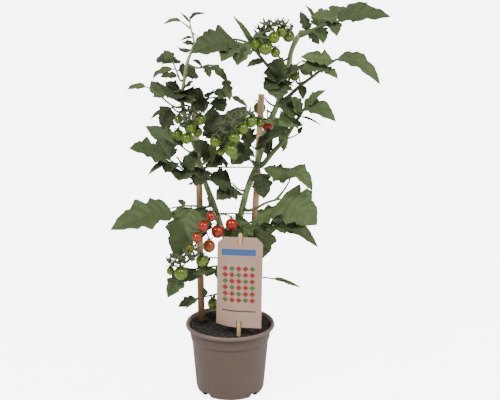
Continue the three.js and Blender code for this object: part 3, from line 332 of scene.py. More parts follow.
# %% Node groups
def new_group(name, inputs, outputs):
    """An empty node group with named sockets, and its input and output nodes."""
    group = bpy.data.node_groups.new(name, "ShaderNodeTree")
    for title, kind, value in inputs:
        socket = group.interface.new_socket(title, in_out="INPUT", socket_type=f"NodeSocket{kind}")
        if value is not None:
            socket.default_value = value
    for title, kind in outputs:
        group.interface.new_socket(title, in_out="OUTPUT", socket_type=f"NodeSocket{kind}")
    return group, group.nodes.new("NodeGroupInput").outputs, group.nodes.new("NodeGroupOutput").inputs


def mottle_group():
    group, given, result = new_group(
        "mottle",
        [("Vector", "Vector", None), ("Scale", "Float", 100.0), ("Contrast", "Float", 2.0),
         ("First", "Color", None), ("Second", "Color", None)],
        [("Color", "Color"), ("Mask", "Float")],
    )
    noise = add_node(group, "ShaderNodeTexNoise",
                     {"Vector": given["Vector"], "Scale": given["Scale"], "Detail": 4.0})
    centred = maths(group, "SUBTRACT", noise.outputs[0], 0.5)
    mask = maths(group, "ADD", times(group, centred, given["Contrast"]), 0.5, clamp=True)
    group.links.new(blended(group, mask, given["First"], given["Second"]), result["Color"])
    group.links.new(mask, result["Mask"])
    return group


def relief_group():
    group, given, result = new_group(
        "relief",
        [("Vector", "Vector", None), ("Scale", "Float", 1000.0),
         ("Strength", "Float", 0.2), ("Distance", "Float", 0.0002)],
        [("Normal", "Vector")],
    )
    noise = add_node(group, "ShaderNodeTexNoise",
                     {"Vector": given["Vector"], "Scale": given["Scale"], "Detail": 3.0})
    values = {"Height": noise.outputs[0], "Strength": given["Strength"], "Distance": given["Distance"]}
    bump = add_node(group, "ShaderNodeBump", values)
    group.links.new(bump.outputs[0], result["Normal"])
    return group


MOTTLE = mottle_group()
RELIEF = relief_group()
print("node groups:", [group.name for group in bpy.data.node_groups])


# %% Material helpers
def new_material(name, roughness, **constants):
    """A material with its tree, its Principled shader, where plain values are set, and its coordinates."""
    material = bpy.data.materials.new(name)
    material.use_nodes = True
    tree = material.node_tree
    shader = tree.nodes["Principled BSDF"]
    shader.inputs["Roughness"].default_value = roughness
    for key, value in constants.items():
        shader.inputs[key.replace("_", " ")].default_value = value
    place = tree.nodes.new("ShaderNodeTexCoord").outputs["Object"]
    return material, tree, shader, place


def mottled(tree, place, scale, first, second, contrast=2.0):
    """A mottle group in a material. Returns its colour and its mask."""
    values = {"Vector": place, "Scale": scale, "Contrast": contrast, "First": first, "Second": second}
    made = add_node(tree, "ShaderNodeGroup", values, node_tree=MOTTLE)
    return made.outputs["Color"], made.outputs["Mask"]


def paint(tree, shader, tone, roughness=None):
    """Leads a colour, and a roughness that varies, to the shader."""
    tree.links.new(tone, shader.inputs["Base Color"])
    if roughness is not None:
        tree.links.new(roughness, shader.inputs["Roughness"])


def roughen(tree, shader, place, scale, strength, depth):
    """A relief group on a shader's normal. The depth is in millimetres."""
    values = {"Vector": place, "Scale": scale, "Strength": strength, "Distance": depth * MM}
    made = add_node(tree, "ShaderNodeGroup", values, node_tree=RELIEF)
    tree.links.new(made.outputs["Normal"], shader.inputs["Normal"])


# %% [markdown]
# ## The pot
# A nursery pot is blown from thin plastic: a rolled lip over a short collar, a step under the collar, a wall
# that narrows to the foot, and notches round the foot that let water out. It could be lathed in one go. Here
# its foot starts as a disc, and one ring after another is extruded and scaled along the profile, up the
# outside, over the lip and down the inside to the floor. Box cutters then take out the notches.

# %% Model the pot
RIM_RADIUS = 65
POT_HEIGHT = 105
COLLAR_RADIUS = 59.5
WAIST_RADIUS = 56
HEEL_RADIUS = 50
HEEL_TOP = 9.5
FOOT_RADIUS = 45.5
COLLAR_BOTTOM = 82
LIP_HEIGHT = 6.5
LIP_FOOT = POT_HEIGHT - LIP_HEIGHT
WALL = 1.8
WALL_RINGS = 8
FLOOR = 2.4
POT_FACETS = 120
NOTCH_WIDTH = 13
NOTCH_HEIGHT = 7
NOTCHES = 4
NOTCH_REACH = FOOT_RADIUS + 4
NOTCH_DEPTH = 24
NOTCH_ROUNDING = 2.4


def ring_by_ring(rings, facets, poked=False):
    """A round body: a disc, extruded from ring to ring. A ring is a radius and a height in millimetres."""
    deselect()
    radius, height = rings[0]
    bpy.ops.mesh.primitive_circle_add(
        vertices=facets, radius=radius * MM, fill_type="NGON", location=(0, 0, height * MM)
    )
    body = bpy.context.object
    apply_place()
    bpy.ops.object.mode_set(mode="EDIT")
    bpy.ops.mesh.select_all(action="SELECT")
    for wider, higher in rings[1:]:
        bpy.ops.mesh.extrude_region_move(TRANSFORM_OT_translate={"value": (0, 0, (higher - height) * MM)})
        growth, middle = (wider / radius, wider / radius, 1), (0, 0, higher * MM)
        bpy.ops.transform.resize(value=growth, center_override=middle)
        radius, height = wider, higher
    if poked:
        bpy.ops.mesh.poke()
    bpy.ops.mesh.select_all(action="SELECT")
    bpy.ops.mesh.normals_make_consistent(inside=False)
    bpy.ops.object.mode_set(mode="OBJECT")
    return body


def pot_profile():
    """The pot's rings, from inside the edge of its foot, up and over the lip, to the edge of the floor."""
    foot = [
        (FOOT_RADIUS - 1, 0), (FOOT_RADIUS + 0.6, 0.4), (HEEL_RADIUS - 1.6, 3.2), (HEEL_RADIUS - 0.5, 6),
        (HEEL_RADIUS, HEEL_TOP),
    ]
    shares = [(i + 1) / WALL_RINGS for i in range(WALL_RINGS)]
    wall = [
        (mix(HEEL_RADIUS, WAIST_RADIUS, share), mix(HEEL_TOP, COLLAR_BOTTOM - 2, share)) for share in shares
    ]
    collar = [
        (WAIST_RADIUS + 0.2, COLLAR_BOTTOM - 1.3), (WAIST_RADIUS + 1.3, COLLAR_BOTTOM - 0.5),
        (WAIST_RADIUS + 1.7, COLLAR_BOTTOM + 0.6), (COLLAR_RADIUS - 0.2, LIP_FOOT - 4),
        (COLLAR_RADIUS - 0.6, LIP_FOOT - 2), (COLLAR_RADIUS - 0.4, LIP_FOOT - 0.8),
    ]
    lip = [
        (COLLAR_RADIUS + 1.8, LIP_FOOT - 0.4), (RIM_RADIUS - 1.5, LIP_FOOT + 0.3),
        (RIM_RADIUS - 0.5, LIP_FOOT + 1.2), (RIM_RADIUS, LIP_FOOT + 2.8),
        (RIM_RADIUS - 0.3, POT_HEIGHT - 2.2), (RIM_RADIUS - 1, POT_HEIGHT - 0.7),
        (RIM_RADIUS - 2, POT_HEIGHT), (RIM_RADIUS - 3.3, POT_HEIGHT - 0.3),
        (RIM_RADIUS - 4.4, POT_HEIGHT - 1.4),
    ]
    inside = [
        (COLLAR_RADIUS + 0.4 - WALL, LIP_FOOT), (WAIST_RADIUS + 1.4 - WALL, COLLAR_BOTTOM),
        (WAIST_RADIUS - 0.2 - WALL, COLLAR_BOTTOM - 3), (HEEL_RADIUS - WALL, FLOOR + 6),
        (HEEL_RADIUS - WALL - 1.4, FLOOR + 1.6), (FOOT_RADIUS - WALL, FLOOR),
    ]
    return foot + wall + collar + lip + inside


def cut_notches(pot):
    for i in range(NOTCHES):
        turn = (i + 0.5) / NOTCHES * 2 * math.pi
        reach = NOTCH_REACH * MM
        place = (math.cos(turn) * reach, math.sin(turn) * reach, 0)
        cutter = block((NOTCH_DEPTH, NOTCH_WIDTH, 2 * NOTCH_HEIGHT), place, turn)
        modify(cutter, "BEVEL", width=NOTCH_ROUNDING * MM, segments=3)
        cut(pot, cutter)


pot = ring_by_ring(pot_profile(), POT_FACETS)
cut_notches(pot)
pot.name = "nursery_pot"
print("pot faces:", len(pot.data.polygons), "size, mm:", [round(v * 1000) for v in pot.dimensions])

# %% [markdown]
# The plastic is recycled, so its taupe is a little cloudy, and handling leaves it satin: its roughness
# drifts from spot to spot. Faint rings from the mould run round the wall, so their noise is stretched along
# it. Painted shade darkens the creases under the lip and the collar, and a painted highlight makes the lip
# paler. Both are masks made from the height, because they lie at the same height all the way round.

# %% Finish the pot
POT_TAUPE = colour("#4a3a32")
POT_TAUPE_PALE = colour("#55443b")
# Painted shade for the creases under the lip and the collar.
POT_CREASE_SHADE = colour("#1c1512")
# Painted highlight for the lip.
LIP_HIGHLIGHT = colour("#705e55")
SHADED_CREASES = ((LIP_FOOT - 1.2, 0.8), (COLLAR_BOTTOM - 1.2, 0.45))
CREASE_SHADE_REACH = 2.4
LIP_HIGHLIGHT_FROM = LIP_FOOT + 1.5
LIP_HIGHLIGHT_TO = LIP_FOOT + 4
LIP_HIGHLIGHT_SHARE = 0.6


def pot_plastic():
    material, tree, shader, place = new_material("pot_plastic", 0.5, Specular_IOR_Level=0.4)
    body, cloud = mottled(tree, place, 28.0, POT_TAUPE, POT_TAUPE_PALE)
    rings = stretched(tree, place, (0.4, 0.4, 6.0))
    tone, _ = mottled(tree, rings, 90.0, body, POT_TAUPE, contrast=0.8)
    height = parts_of(tree, place)[2]
    # Painted shade: the creases are darkened as if they lay in shadow.
    for crease, strength in SHADED_CREASES:
        near = fading(tree, distance(tree, height, crease * MM), CREASE_SHADE_REACH * MM)
        tone = blended(tree, times(tree, near, strength), tone, POT_CREASE_SHADE)
    # Painted highlight: the lip is made paler from a little above its foot upwards.
    lip_highlight = add_node(tree, "ShaderNodeMapRange", {0: height, 1: LIP_HIGHLIGHT_FROM * MM, 2: LIP_HIGHLIGHT_TO * MM})
    lit = blended(tree, times(tree, lip_highlight.outputs[0], LIP_HIGHLIGHT_SHARE), tone, LIP_HIGHLIGHT)
    paint(tree, shader, lit, ranged(tree, cloud, 0.42, 0.58))
    roughen(tree, shader, place, 900.0, 0.25, 0.08)
    return material


dress(pot, "pot", "pot_plastic", pot_plastic(), smooth=35)

# %% [markdown]
# ## The soil
# Peaty potting soil fills the pot to just under the lip. Its body is made like the pot, ring by ring, and its
# top is then subdivided and pushed up and down by two sizes of cloud noise. Loose crumbs and short fibres lie
# on it: one crumb is modelled from a rough ball, and each copy is turned, stretched and set down by a rule.

# %% Model the soil
SOIL_LEVEL = 100
SOIL_FACETS = 72
SOIL_GAP = 1.1
SOIL_RADIUS = COLLAR_RADIUS - WALL - 1
SOIL_RINGS = (1, 0.93, 0.85, 0.76, 0.66, 0.55, 0.43, 0.31, 0.2, 0.1)
LUMPS = ((11, 4.16), (3.5, 2.4))
CRUMBS = 420
CRUMB_EDGE = 1.5
CRUMB_SIZES = (0.5, 2.2)
CRUMB_CORNERS = (0.75, 1.25)
CRUMB_TURNS = 5
CRUMB_SHAPE = Vector((1, 0.8, 0.7))
CRUMB_TILT = 3
FIBRE_EVERY = 6
FIBRE_SHAPE = Vector((2.6, 0.35, 0.35))
FIBRE_TILT = 0.3


def soil_profile():
    """The soil's rings, from just above the pot's floor to the middle of the soil's top."""
    sides = [
        (FOOT_RADIUS - WALL - 1.2, FLOOR + 0.3), (HEEL_RADIUS - WALL - SOIL_GAP, FLOOR + 8),
        (WAIST_RADIUS - WALL - SOIL_GAP, COLLAR_BOTTOM - 2),
    ]
    return sides + [(SOIL_RADIUS * share, SOIL_LEVEL) for share in SOIL_RINGS]


def roughen_top(soil):
    """Lumps of two sizes on the top of the soil, which is the vertex group named top."""
    top = soil.vertex_groups.new(name="top")
    top.add([v.index for v in soil.data.vertices if v.co.z > (SOIL_LEVEL - 1) * MM], 1.0, "REPLACE")
    modify(soil, "SUBSURF", levels=1, render_levels=1, subdivision_type="SIMPLE")
    for size, height in LUMPS:
        clouds = bpy.data.textures.new("soil_lumps", "CLOUDS")
        clouds.noise_scale = size * MM
        modify(soil, "DISPLACE", texture=clouds, texture_coords="LOCAL", vertex_group="top",
               direction="Z", strength=height * MM, mid_level=0.5)


def scatter_crumbs(soil):
    """Crumbs and fibres on the soil, each resting on the place under it."""
    deselect()
    bpy.ops.mesh.primitive_ico_sphere_add(subdivisions=1, radius=MM)
    crumb = bpy.context.object
    for vertex in crumb.data.vertices:
        vertex.co *= mix(*CRUMB_CORNERS, chance(vertex.index + 7))
    crumbs = []
    for i in range(CRUMBS):
        turn = chance(i * 3 + 1) * 2 * math.pi
        out = math.sqrt(chance(i * 3 + 2)) * (SOIL_RADIUS - CRUMB_EDGE) * MM
        above = Vector((math.cos(turn) * out, math.sin(turn) * out, 2 * SOIL_LEVEL * MM))
        ground = soil.ray_cast(above, Vector((0, 0, -1)))[1]
        fibre = i % FIBRE_EVERY == 0
        shape = FIBRE_SHAPE if fibre else CRUMB_SHAPE * mix(*CRUMB_SIZES, chance(i * 3 + 3) ** 2)
        tilt = (FIBRE_TILT if fibre else CRUMB_TILT) * chance(i + 9)
        turned = Matrix.Rotation(turn * CRUMB_TURNS, 4, "Z") @ Matrix.Rotation(tilt, 4, "X")
        twin = copy_of(crumb, "crumb")
        twin.data.transform(Matrix.Translation(ground) @ turned @ Matrix.Diagonal((*shape, 1)))
        crumbs.append(twin)
    bpy.data.objects.remove(crumb)
    return joined([soil, *crumbs], "potting_soil")


soil = ring_by_ring(soil_profile(), SOIL_FACETS, poked=True)
roughen_top(soil)
soil = scatter_crumbs(soil)
print("soil faces:", len(soil.data.polygons))

# %% [markdown]
# Moist peat is nearly black in its hollows and dark brown on its crumbs, and it doesn't shine.

# %% Finish the soil
PEAT_DARK = colour("#0e0c0b")
PEAT = colour("#38312b")


def potting_soil():
    material, tree, shader, place = new_material("potting_soil", 0.92, Specular_IOR_Level=0.2)
    body, grain = mottled(tree, place, 260.0, PEAT_DARK, PEAT, contrast=3.6)
    paint(tree, shader, body, ranged(tree, grain, 0.82, 0.98))
    roughen(tree, shader, place, 1400.0, 0.9, 0.6)
    return material


dress(soil, "soil", "potting_soil", potting_soil(), smooth=50)

# %% [markdown]
# ## Canes and rungs
# The ladder is two peeled wooden canes with thin rungs let into holes in them. A cane is a bar along its
# slightly bent line, its end edges bevelled as if cut and rubbed. A rung is a thin bar from hole to hole.

# %% Model the canes and rungs
ROOTED = 34
CANE_BACK = 18
CANE_RADII = (5.2, 4.4)
CANE_UNEVEN = 0.06
CANE_ROUNDING = 0.6
RUNG_RADIUS = 1.1
RUNG_SEAT = 2.2
CANE_LINES = {
    "cane_left": [(201.5, 319.5), (200, 250), (199.3, 190), (197.6, 153), (194, 108), (194.3, 90.5)],
    "cane_right": [(249.5, 319.5), (252.8, 250), (256, 198), (258.4, 153), (261.4, 94.5)],
}
RUNG_ROWS = {"rung_low": 258.5, "rung_middle": 213.5, "rung_top": 167.5}


def cane_path(line):
    """A cane's line, from its foot in the soil to its top."""
    points = [seen(across, down, CANE_BACK) for across, down in line]
    return Path([points[0] + (points[0] - points[1]).normalized() * ROOTED * MM, *points])


def at_height(path, height):
    return min(path.fine, key=lambda here: abs(here.z - height))


cane_paths = {name: cane_path(line) for name, line in CANE_LINES.items()}
ladder = {}
for name, path in cane_paths.items():
    radii = taper(path, *CANE_RADII)
    least = 1 - CANE_UNEVEN / 2
    radii = [radius * (least + CANE_UNEVEN * chance(i + len(name))) for i, radius in enumerate(radii)]
    ladder[name] = bars(f"wooden_{name}", [(path, radii)], roundness=6, steps=10)
    round_edges(ladder[name], CANE_ROUNDING, 60)

for name, row in RUNG_ROWS.items():
    height = seen(VIEW_AXIS, row, CANE_BACK).z
    start, end = (at_height(path, height) for path in cane_paths.values())
    way = (end - start).normalized() * RUNG_SEAT * MM
    ladder[name] = bars(f"wooden_{name}", [(Path([start + way, end - way]), [RUNG_RADIUS] * 2)])
print("cane heights, mm:", {name: round(path.points[-1].z * 1000) for name, path in cane_paths.items()})

# %% [markdown]
# Peeled wood has a grain along its length. The grain is noise on coordinates squeezed along the cane, used
# twice: broad bands tint the wood, and narrow ones darken it in fine lines and raise it a little. A pale tone
# is mixed in more and more with height as painted light, so the canes look lit above the leaves and shaded
# below them.


# %% Finish the canes and rungs
# Painted light: a pale tone mixed into the canes more and more with height.
WOOD_PAINTED_LIGHT = colour("#e6c29a")
PAINTED_LIGHT_FROM = 0.1
PAINTED_LIGHT_SLOPE = 2.5


def wood(name, pale, warm, line, roughness=0.7, painted_light=0.0):
    """Wood whose grain runs up Z. The last argument says how much paler it is painted high up than at the
    soil, as painted light.
    """
    material, tree, shader, place = new_material(name, roughness, Specular_IOR_Level=0.3)
    broad, _ = mottled(tree, stretched(tree, place, (1, 1, 0.08)), 160.0, pale, warm)
    fine_place = stretched(tree, place, (1, 1, 0.03))
    lined, fibre = mottled(tree, fine_place, 900.0, line, broad, contrast=2.6)
    stained, _ = mottled(tree, place, 14.0, lined, warm, contrast=1.2)
    # Painted light: paler with height, so the top looks lit and the foot shaded.
    rise = rising(tree, parts_of(tree, place)[2], PAINTED_LIGHT_FROM, PAINTED_LIGHT_SLOPE)
    tone = blended(tree, times(tree, rise, painted_light), stained, WOOD_PAINTED_LIGHT)
    paint(tree, shader, tone, ranged(tree, fibre, roughness + 0.1, roughness - 0.08))
    roughen(tree, shader, fine_place, 1100.0, 0.5, 0.15)
    return material


cane_wood = wood("cane_wood", colour("#8c6a42"), colour("#785533"), colour("#5f4027"), painted_light=0.95)
for name, piece in ladder.items():
    dress(piece, name, "cane", cane_wood, smooth=50)

# %% [markdown]
# ## The splint and the card
# The splint is a flat wooden stick with a rounded end. The card is threaded on it through two slots, so the
# splint shows in front of its top and bottom strips, and its left wing is bowed back. The splint is a cube
# scaled flat, its top corners bevelled round. The card is a flat grid: its corners are bisected off, its
# points are laid along the splint by a formula, and it then gets its thickness and its slots.

# %% Model the splint and the card
SPLINT_WIDTH = 5.4
SPLINT_THICKNESS = 1.8
SPLINT_FOOT = seen(238.6, 336, -44)
SPLINT_TOP = seen(240.4, 233.5, -44)
SPLINT_LENGTH = (SPLINT_TOP - SPLINT_FOOT).length / MM
SPLINT_WAY = (SPLINT_TOP - SPLINT_FOOT).normalized()
SPLINT_TIP_DROP = 2
SPLINT_END_ROUNDING = SPLINT_WIDTH * 0.48
SPLINT_EDGE_ROUNDING = 0.25
CARD_WIDTH = 64
CARD_THICKNESS = 0.9
CARD_CORNER = 9
CARD_FOOT_GAP = 14
CARD_TOP_GAP = 5
CARD_HEIGHT = SPLINT_LENGTH - CARD_FOOT_GAP - CARD_TOP_GAP
CARD_BACK_BEND = 15
CARD_BEND_FADE = 1.5
CARD_TURN = math.radians(6)
CARD_OFFSET = 1.95
SLOT_UP = 9
SLOT_WIDTH = 6
SLOT_HEIGHT = 3
SLOT_PLAY = 0.6
SLOT_SLOPE = 1.5
SLOT_CUT = 16


def model_splint():
    full = SPLINT_LENGTH + ROOTED + SPLINT_WIDTH / 2 - SPLINT_TIP_DROP
    middle = (0, 0, full * MM / 2 - ROOTED * MM)
    splint = block((SPLINT_WIDTH, SPLINT_THICKNESS, full), middle)
    shell = bmesh.new()
    shell.from_mesh(splint.data)
    top = max(v.co.z for v in shell.verts)
    ends = [e for e in shell.edges if all(v.co.z > top - MM for v in e.verts)
            and abs(e.verts[0].co.x - e.verts[1].co.x) < MM / 10]
    rounding = SPLINT_END_ROUNDING * MM
    bmesh.ops.bevel(shell, geom=ends, offset=rounding, segments=8, profile=0.5, affect="EDGES")
    shell.to_mesh(splint.data)
    shell.free()
    round_edges(splint, SPLINT_EDGE_ROUNDING, 50)
    turn = Vector((0, 0, 1)).rotation_difference(SPLINT_WAY).to_matrix().to_4x4()
    splint.data.transform(Matrix.Translation(SPLINT_FOOT) @ turn)
    splint.name = "splint_stick"
    return splint


def card_place(across, up):
    """Where a point of the card lies, given in millimetres from the card's foot and middle."""
    share = up / CARD_HEIGHT
    axis = SPLINT_FOOT + SPLINT_WAY * (CARD_FOOT_GAP + up) * MM
    wing = max(0, -across / (CARD_WIDTH / 2))
    bend = CARD_BACK_BEND * wing**2 * max(0, 1 - share) ** CARD_BEND_FADE
    strip = up < SLOT_UP or up > CARD_HEIGHT - SLOT_UP
    past_slot = min(1, max(0, (abs(across) - SLOT_WIDTH / 2) / SLOT_SLOPE)) if strip else 1
    offset = mix(CARD_OFFSET, -CARD_OFFSET - across * math.sin(CARD_TURN), past_slot)
    return axis + Vector((across, bend + offset, 0)) * MM


def model_card():
    deselect()
    bpy.ops.mesh.primitive_grid_add(x_subdivisions=72, y_subdivisions=90, size=1)
    card = bpy.context.object
    card.scale = (CARD_WIDTH, CARD_HEIGHT, 1)
    card.location = (0, CARD_HEIGHT / 2, 0)
    apply_place()
    bpy.ops.object.mode_set(mode="EDIT")
    for side in (-1, 1):
        bpy.ops.mesh.select_all(action="SELECT")
        corner = (side * (CARD_WIDTH / 2 - CARD_CORNER), CARD_HEIGHT, 0)
        bpy.ops.mesh.bisect(plane_co=corner, plane_no=(side, 1, 0), clear_outer=True)
    bpy.ops.object.mode_set(mode="OBJECT")
    for vertex in card.data.vertices:
        vertex.co = card_place(vertex.co.x, vertex.co.y)
    modify(card, "SOLIDIFY", thickness=CARD_THICKNESS * MM, offset=0)
    for up in (SLOT_UP, CARD_HEIGHT - SLOT_UP):
        cut(card, block((SLOT_WIDTH + SLOT_PLAY, SLOT_CUT, SLOT_HEIGHT), card_place(0, up)))
    card.name = "kraft_card"
    return card


splint = model_splint()
card = model_card()
print("card, mm:", CARD_WIDTH, "by", round(CARD_HEIGHT), "faces:", len(card.data.polygons))

# %% [markdown]
# The card is uncoated kraft board: warm brown-pink, with fibres, and matt. Its print is a generic design in
# a few inks: a blue band near the top, rows of red and green diamonds below it, and a dark line under them.
# The print reads the card's own UV map, so it bends with the card, and shows only on the front. Places in it
# are shares of the card's width and height.

# %% Finish the splint and the card
KRAFT = colour("#9c8070")
KRAFT_PALE = colour("#a98e7e")
FIBRE_BROWN = colour("#927768")
INK_BLUE = colour("#1e4f86")
INK_RED = colour("#7c0e18")
INK_GREEN = colour("#365a1c")
INK_DARK = colour("#2a2522")
INK_SHARE = 0.9
LINE_SHARE = 0.85
PRINT_MARGIN = (0.125, 0.875)
BAND = (0.80, 0.87)
LINE = (0.175, 0.19)
DIAMONDS = (0.27, 0.69)
DIAMOND_ACROSS = 0.15
DIAMOND_UP = 0.07
DIAMOND_SIZE = 0.46
GREEN_EVERY = 3.0
GREEN_BELOW = 0.2
FACES_FRONT = -0.3


def between(tree, value, low, high):
    """1 where a value lies between low and high, and 0 elsewhere."""
    return times(tree, maths(tree, "GREATER_THAN", value, low), maths(tree, "LESS_THAN", value, high))


def diamond_masks(tree, across, up):
    """Where the diamonds are, and which of them are green."""
    cells = [
        maths(tree, "DIVIDE", maths(tree, "SUBTRACT", across, PRINT_MARGIN[0]), DIAMOND_ACROSS),
        maths(tree, "DIVIDE", maths(tree, "SUBTRACT", up, DIAMONDS[0]), DIAMOND_UP),
    ]
    from_middle = [distance(tree, maths(tree, "FRACT", cell), 0.5) for cell in cells]
    inside = maths(tree, "LESS_THAN", maths(tree, "ADD", *from_middle), DIAMOND_SIZE)
    number = maths(tree, "ADD", *[maths(tree, "FLOOR", cell) for cell in cells])
    step = maths(tree, "FRACT", maths(tree, "DIVIDE", number, GREEN_EVERY))
    green = maths(tree, "LESS_THAN", step, GREEN_BELOW)
    return inside, green


def printed_card():
    material, tree, shader, place = new_material("printed_card", 0.85, Specular_IOR_Level=0.25)
    board, _ = mottled(tree, place, 45.0, KRAFT, KRAFT_PALE)
    tone, _ = mottled(tree, stretched(tree, place, (1, 1, 0.25)), 700.0, board, FIBRE_BROWN, contrast=1.1)
    lay = add_node(tree, "ShaderNodeUVMap", uv_map="card")
    across, up, _ = parts_of(tree, lay.outputs[0])
    margin = between(tree, across, *PRINT_MARGIN)
    inside, green = diamond_masks(tree, across, up)
    diamonds = times(tree, inside, times(tree, between(tree, up, *DIAMONDS), margin))
    band = times(tree, between(tree, up, *BAND), margin)
    line = times(tree, between(tree, up, *LINE), margin)
    ink = blended(tree, green, INK_RED, INK_GREEN)
    prints = ((diamonds, INK_SHARE, ink), (band, INK_SHARE, INK_BLUE), (line, LINE_SHARE, INK_DARK))
    for mask, share, tint in prints:
        tone = blended(tree, times(tree, mask, share), tone, tint)
    paint(tree, shader, tone)
    roughen(tree, shader, place, 1200.0, 0.35, 0.1)
    return material


def map_card(card):
    """The card's UV map: shares across and up on its front, and outside the print elsewhere."""
    layer = card.data.uv_layers.new(name="card")
    foot = SPLINT_FOOT + SPLINT_WAY * CARD_FOOT_GAP * MM
    for face in card.data.polygons:
        front = face.normal.y < FACES_FRONT
        for corner in face.loop_indices:
            place = card.data.vertices[card.data.loops[corner].vertex_index].co
            across = (place.x - SPLINT_FOOT.x) / (CARD_WIDTH * MM) + 0.5
            up = (place.z - foot.z) / (CARD_HEIGHT * SPLINT_WAY.z * MM)
            layer.data[corner].uv = (across, up) if front else (-1, -1)


map_card(card)
dress(card, "card_label", "card", printed_card(), smooth=30)
splint_wood = wood("splint_wood", colour("#d3bb95"), colour("#b5976c"), colour("#a98a61"))
dress(splint, "splint", "splint", splint_wood)

# %% [markdown]
# ## The stems
# The plant's own frame is a short main stem that forks into two leaders. Each is a bar along its line,
# thicker where leaves join it. Tomato stems are hairy: fine pale spikes stand out from them all the way up,
# each one a three-sided spike set at a seeded place on the bar.

# %% Model the stems
MAIN_STEM = [(230.2, 348, 6), (230, 326, 6), (229, 300, 7), (231, 276, 8), (232, 254, 8)]
LEFT_LEADER = [
    (232, 254, 8), (226, 239, 9), (221, 226, 9), (213, 203, 8), (205, 182, 7), (200, 165, 6), (196, 150, 5),
    (189, 132, 6), (184, 114, 6), (182, 98, 5), (184, 82, 4), (187, 64, 3), (191, 52.5, 2),
]
RIGHT_LEADER = [
    (232, 254, 8), (236, 237, 9), (239, 222, 9), (243.5, 203, 8), (247, 190, 7), (252, 177, 6), (257, 165, 6),
    (261, 150, 6), (265, 133, 6), (272, 117, 5), (278, 103, 4), (280, 92, 2), (284, 78, 2), (289, 64, 0),
    (291, 52, -4), (296, 40, -8), (300, 34, -10),
]
STEM_RADII = {"main": (4.4, 4.4), "left": (4.5, 2), "right": (4.5, 3.2)}
STEM_SEEDS = 20
KNOT_SWELL = 0.16
STEM_UNEVEN = 0.05
HAIR_LENGTH = 1.3
HAIR_LENGTHS = (0.5, 1.3)
HAIR_WIDTH = 0.07
HAIR_LEAN = 0.8
HAIR_ROOT = 0.97
HAIRS_PER_METRE = 4200
HAIRY_SHARE = 0.98
STEM_STEP = 0.01
HAIR_SEEDS = 9000


def path_along(places):
    return Path([seen(*place) for place in places])


def knotty(radii, seed):
    """Radii that swell a little at every other point, where something joins."""
    return [
        radius * (1 + KNOT_SWELL * (i % 2) + STEM_UNEVEN * chance(seed + i)) for i, radius in enumerate(radii)
    ]


def hairs(path, start, end, seed):
    """Spikes that stand out from a bar that tapers from one radius to another."""
    vertices, faces = [], []
    for i in range(int(path.walked[-1] * HAIRS_PER_METRE)):
        place, turn, growth, sway = (chance(seed + i * 5 + k) for k in (1, 2, 3, 4))
        share = place * HAIRY_SHARE
        middle = path.at(share)
        way = (path.at(share + STEM_STEP) - middle).normalized()
        out = Vector((0, 1, 0)).cross(way)
        out.rotate(Matrix.Rotation(turn * 2 * math.pi, 3, way))
        root = middle + out * mix(start, end, share) * HAIR_ROOT * MM
        length = HAIR_LENGTH * mix(*HAIR_LENGTHS, growth) * MM
        tip = (out + way * ((sway - 0.5) * HAIR_LEAN)).normalized() * length
        side = out.cross(way) * HAIR_WIDTH * MM
        a = len(vertices)
        vertices += [root + side, root - side, root + way * HAIR_WIDTH * 2 * MM, root + tip]
        faces += [(a, a + 1, a + 3), (a + 1, a + 2, a + 3), (a + 2, a, a + 3)]
    data = bpy.data.meshes.new("hairs")
    data.from_pydata(vertices, [], faces)
    piece = bpy.data.objects.new("hairs", data)
    bpy.context.scene.collection.objects.link(piece)
    return piece


def model_stems():
    grown = [(path, *STEM_RADII[name]) for name, path in leaders.items()]
    lines = [(one[0], knotty(taper(*one), i * STEM_SEEDS)) for i, one in enumerate(grown)]
    stems = bars("stems", lines, roundness=4, steps=6)
    fuzz = [hairs(*one, i * HAIR_SEEDS) for i, one in enumerate(grown)]
    return joined([stems, *fuzz], "hairy_stems")


leaders = {"main": path_along(MAIN_STEM), "left": path_along(LEFT_LEADER), "right": path_along(RIGHT_LEADER)}
stems = model_stems()
print("stems, mm high:", round(stems.dimensions.z * 1000), "faces:", len(stems.data.polygons))

# %% [markdown]
# The stem is a soft grey green. Its hairs catch the light, which a little sheen adds to what the spikes do,
# and along it run faint ribs, paler than the skin between them. A pale green is mixed in more and more with
# height: the new growth at the top is paler, and the same pale tone paints the highlights on the top of the
# plant.

# %% Finish the stems
STEM_GREEN = colour("#56673d")
STEM_PALE = colour("#7a8a5c")
STALK_GREEN = colour("#3e4e30")
# Paler new growth, with a painted highlight, mixed in at the top of the plant.
YOUNG_AND_LIT_STEM = colour("#a3ab86")
YOUNG_AND_LIT_FROM = 0.4
YOUNG_AND_LIT_SLOPE = 5


def plant_skin(name, first, second, roughness=0.62, young_and_lit=0.0):
    """The last argument says how much pale green shows at the top of the plant: paler new growth, and a
    painted highlight.
    """
    material, tree, shader, place = new_material(
        name, roughness, Specular_IOR_Level=0.3, Sheen_Weight=0.08, Sheen_Roughness=0.5
    )
    body, cloud = mottled(tree, place, 90.0, first, second)
    ribs, _ = mottled(tree, stretched(tree, place, (1, 1, 0.06)), 900.0, body, second, contrast=1.6)
    # Paler with height: new growth, and a painted highlight.
    rise = rising(tree, parts_of(tree, place)[2], YOUNG_AND_LIT_FROM, YOUNG_AND_LIT_SLOPE)
    skin = blended(tree, times(tree, rise, young_and_lit), ribs, YOUNG_AND_LIT_STEM)
    paint(tree, shader, skin, ranged(tree, cloud, roughness - 0.06, roughness + 0.1))
    roughen(tree, shader, place, 1500.0, 0.4, 0.15)
    return material


stem_skin = plant_skin("stem_skin", STEM_GREEN, STEM_PALE, young_and_lit=0.65)
stalk_skin = plant_skin("stalk_skin", STALK_GREEN, STEM_GREEN)
dress(stems, "stem", "stem", stem_skin, smooth=60)

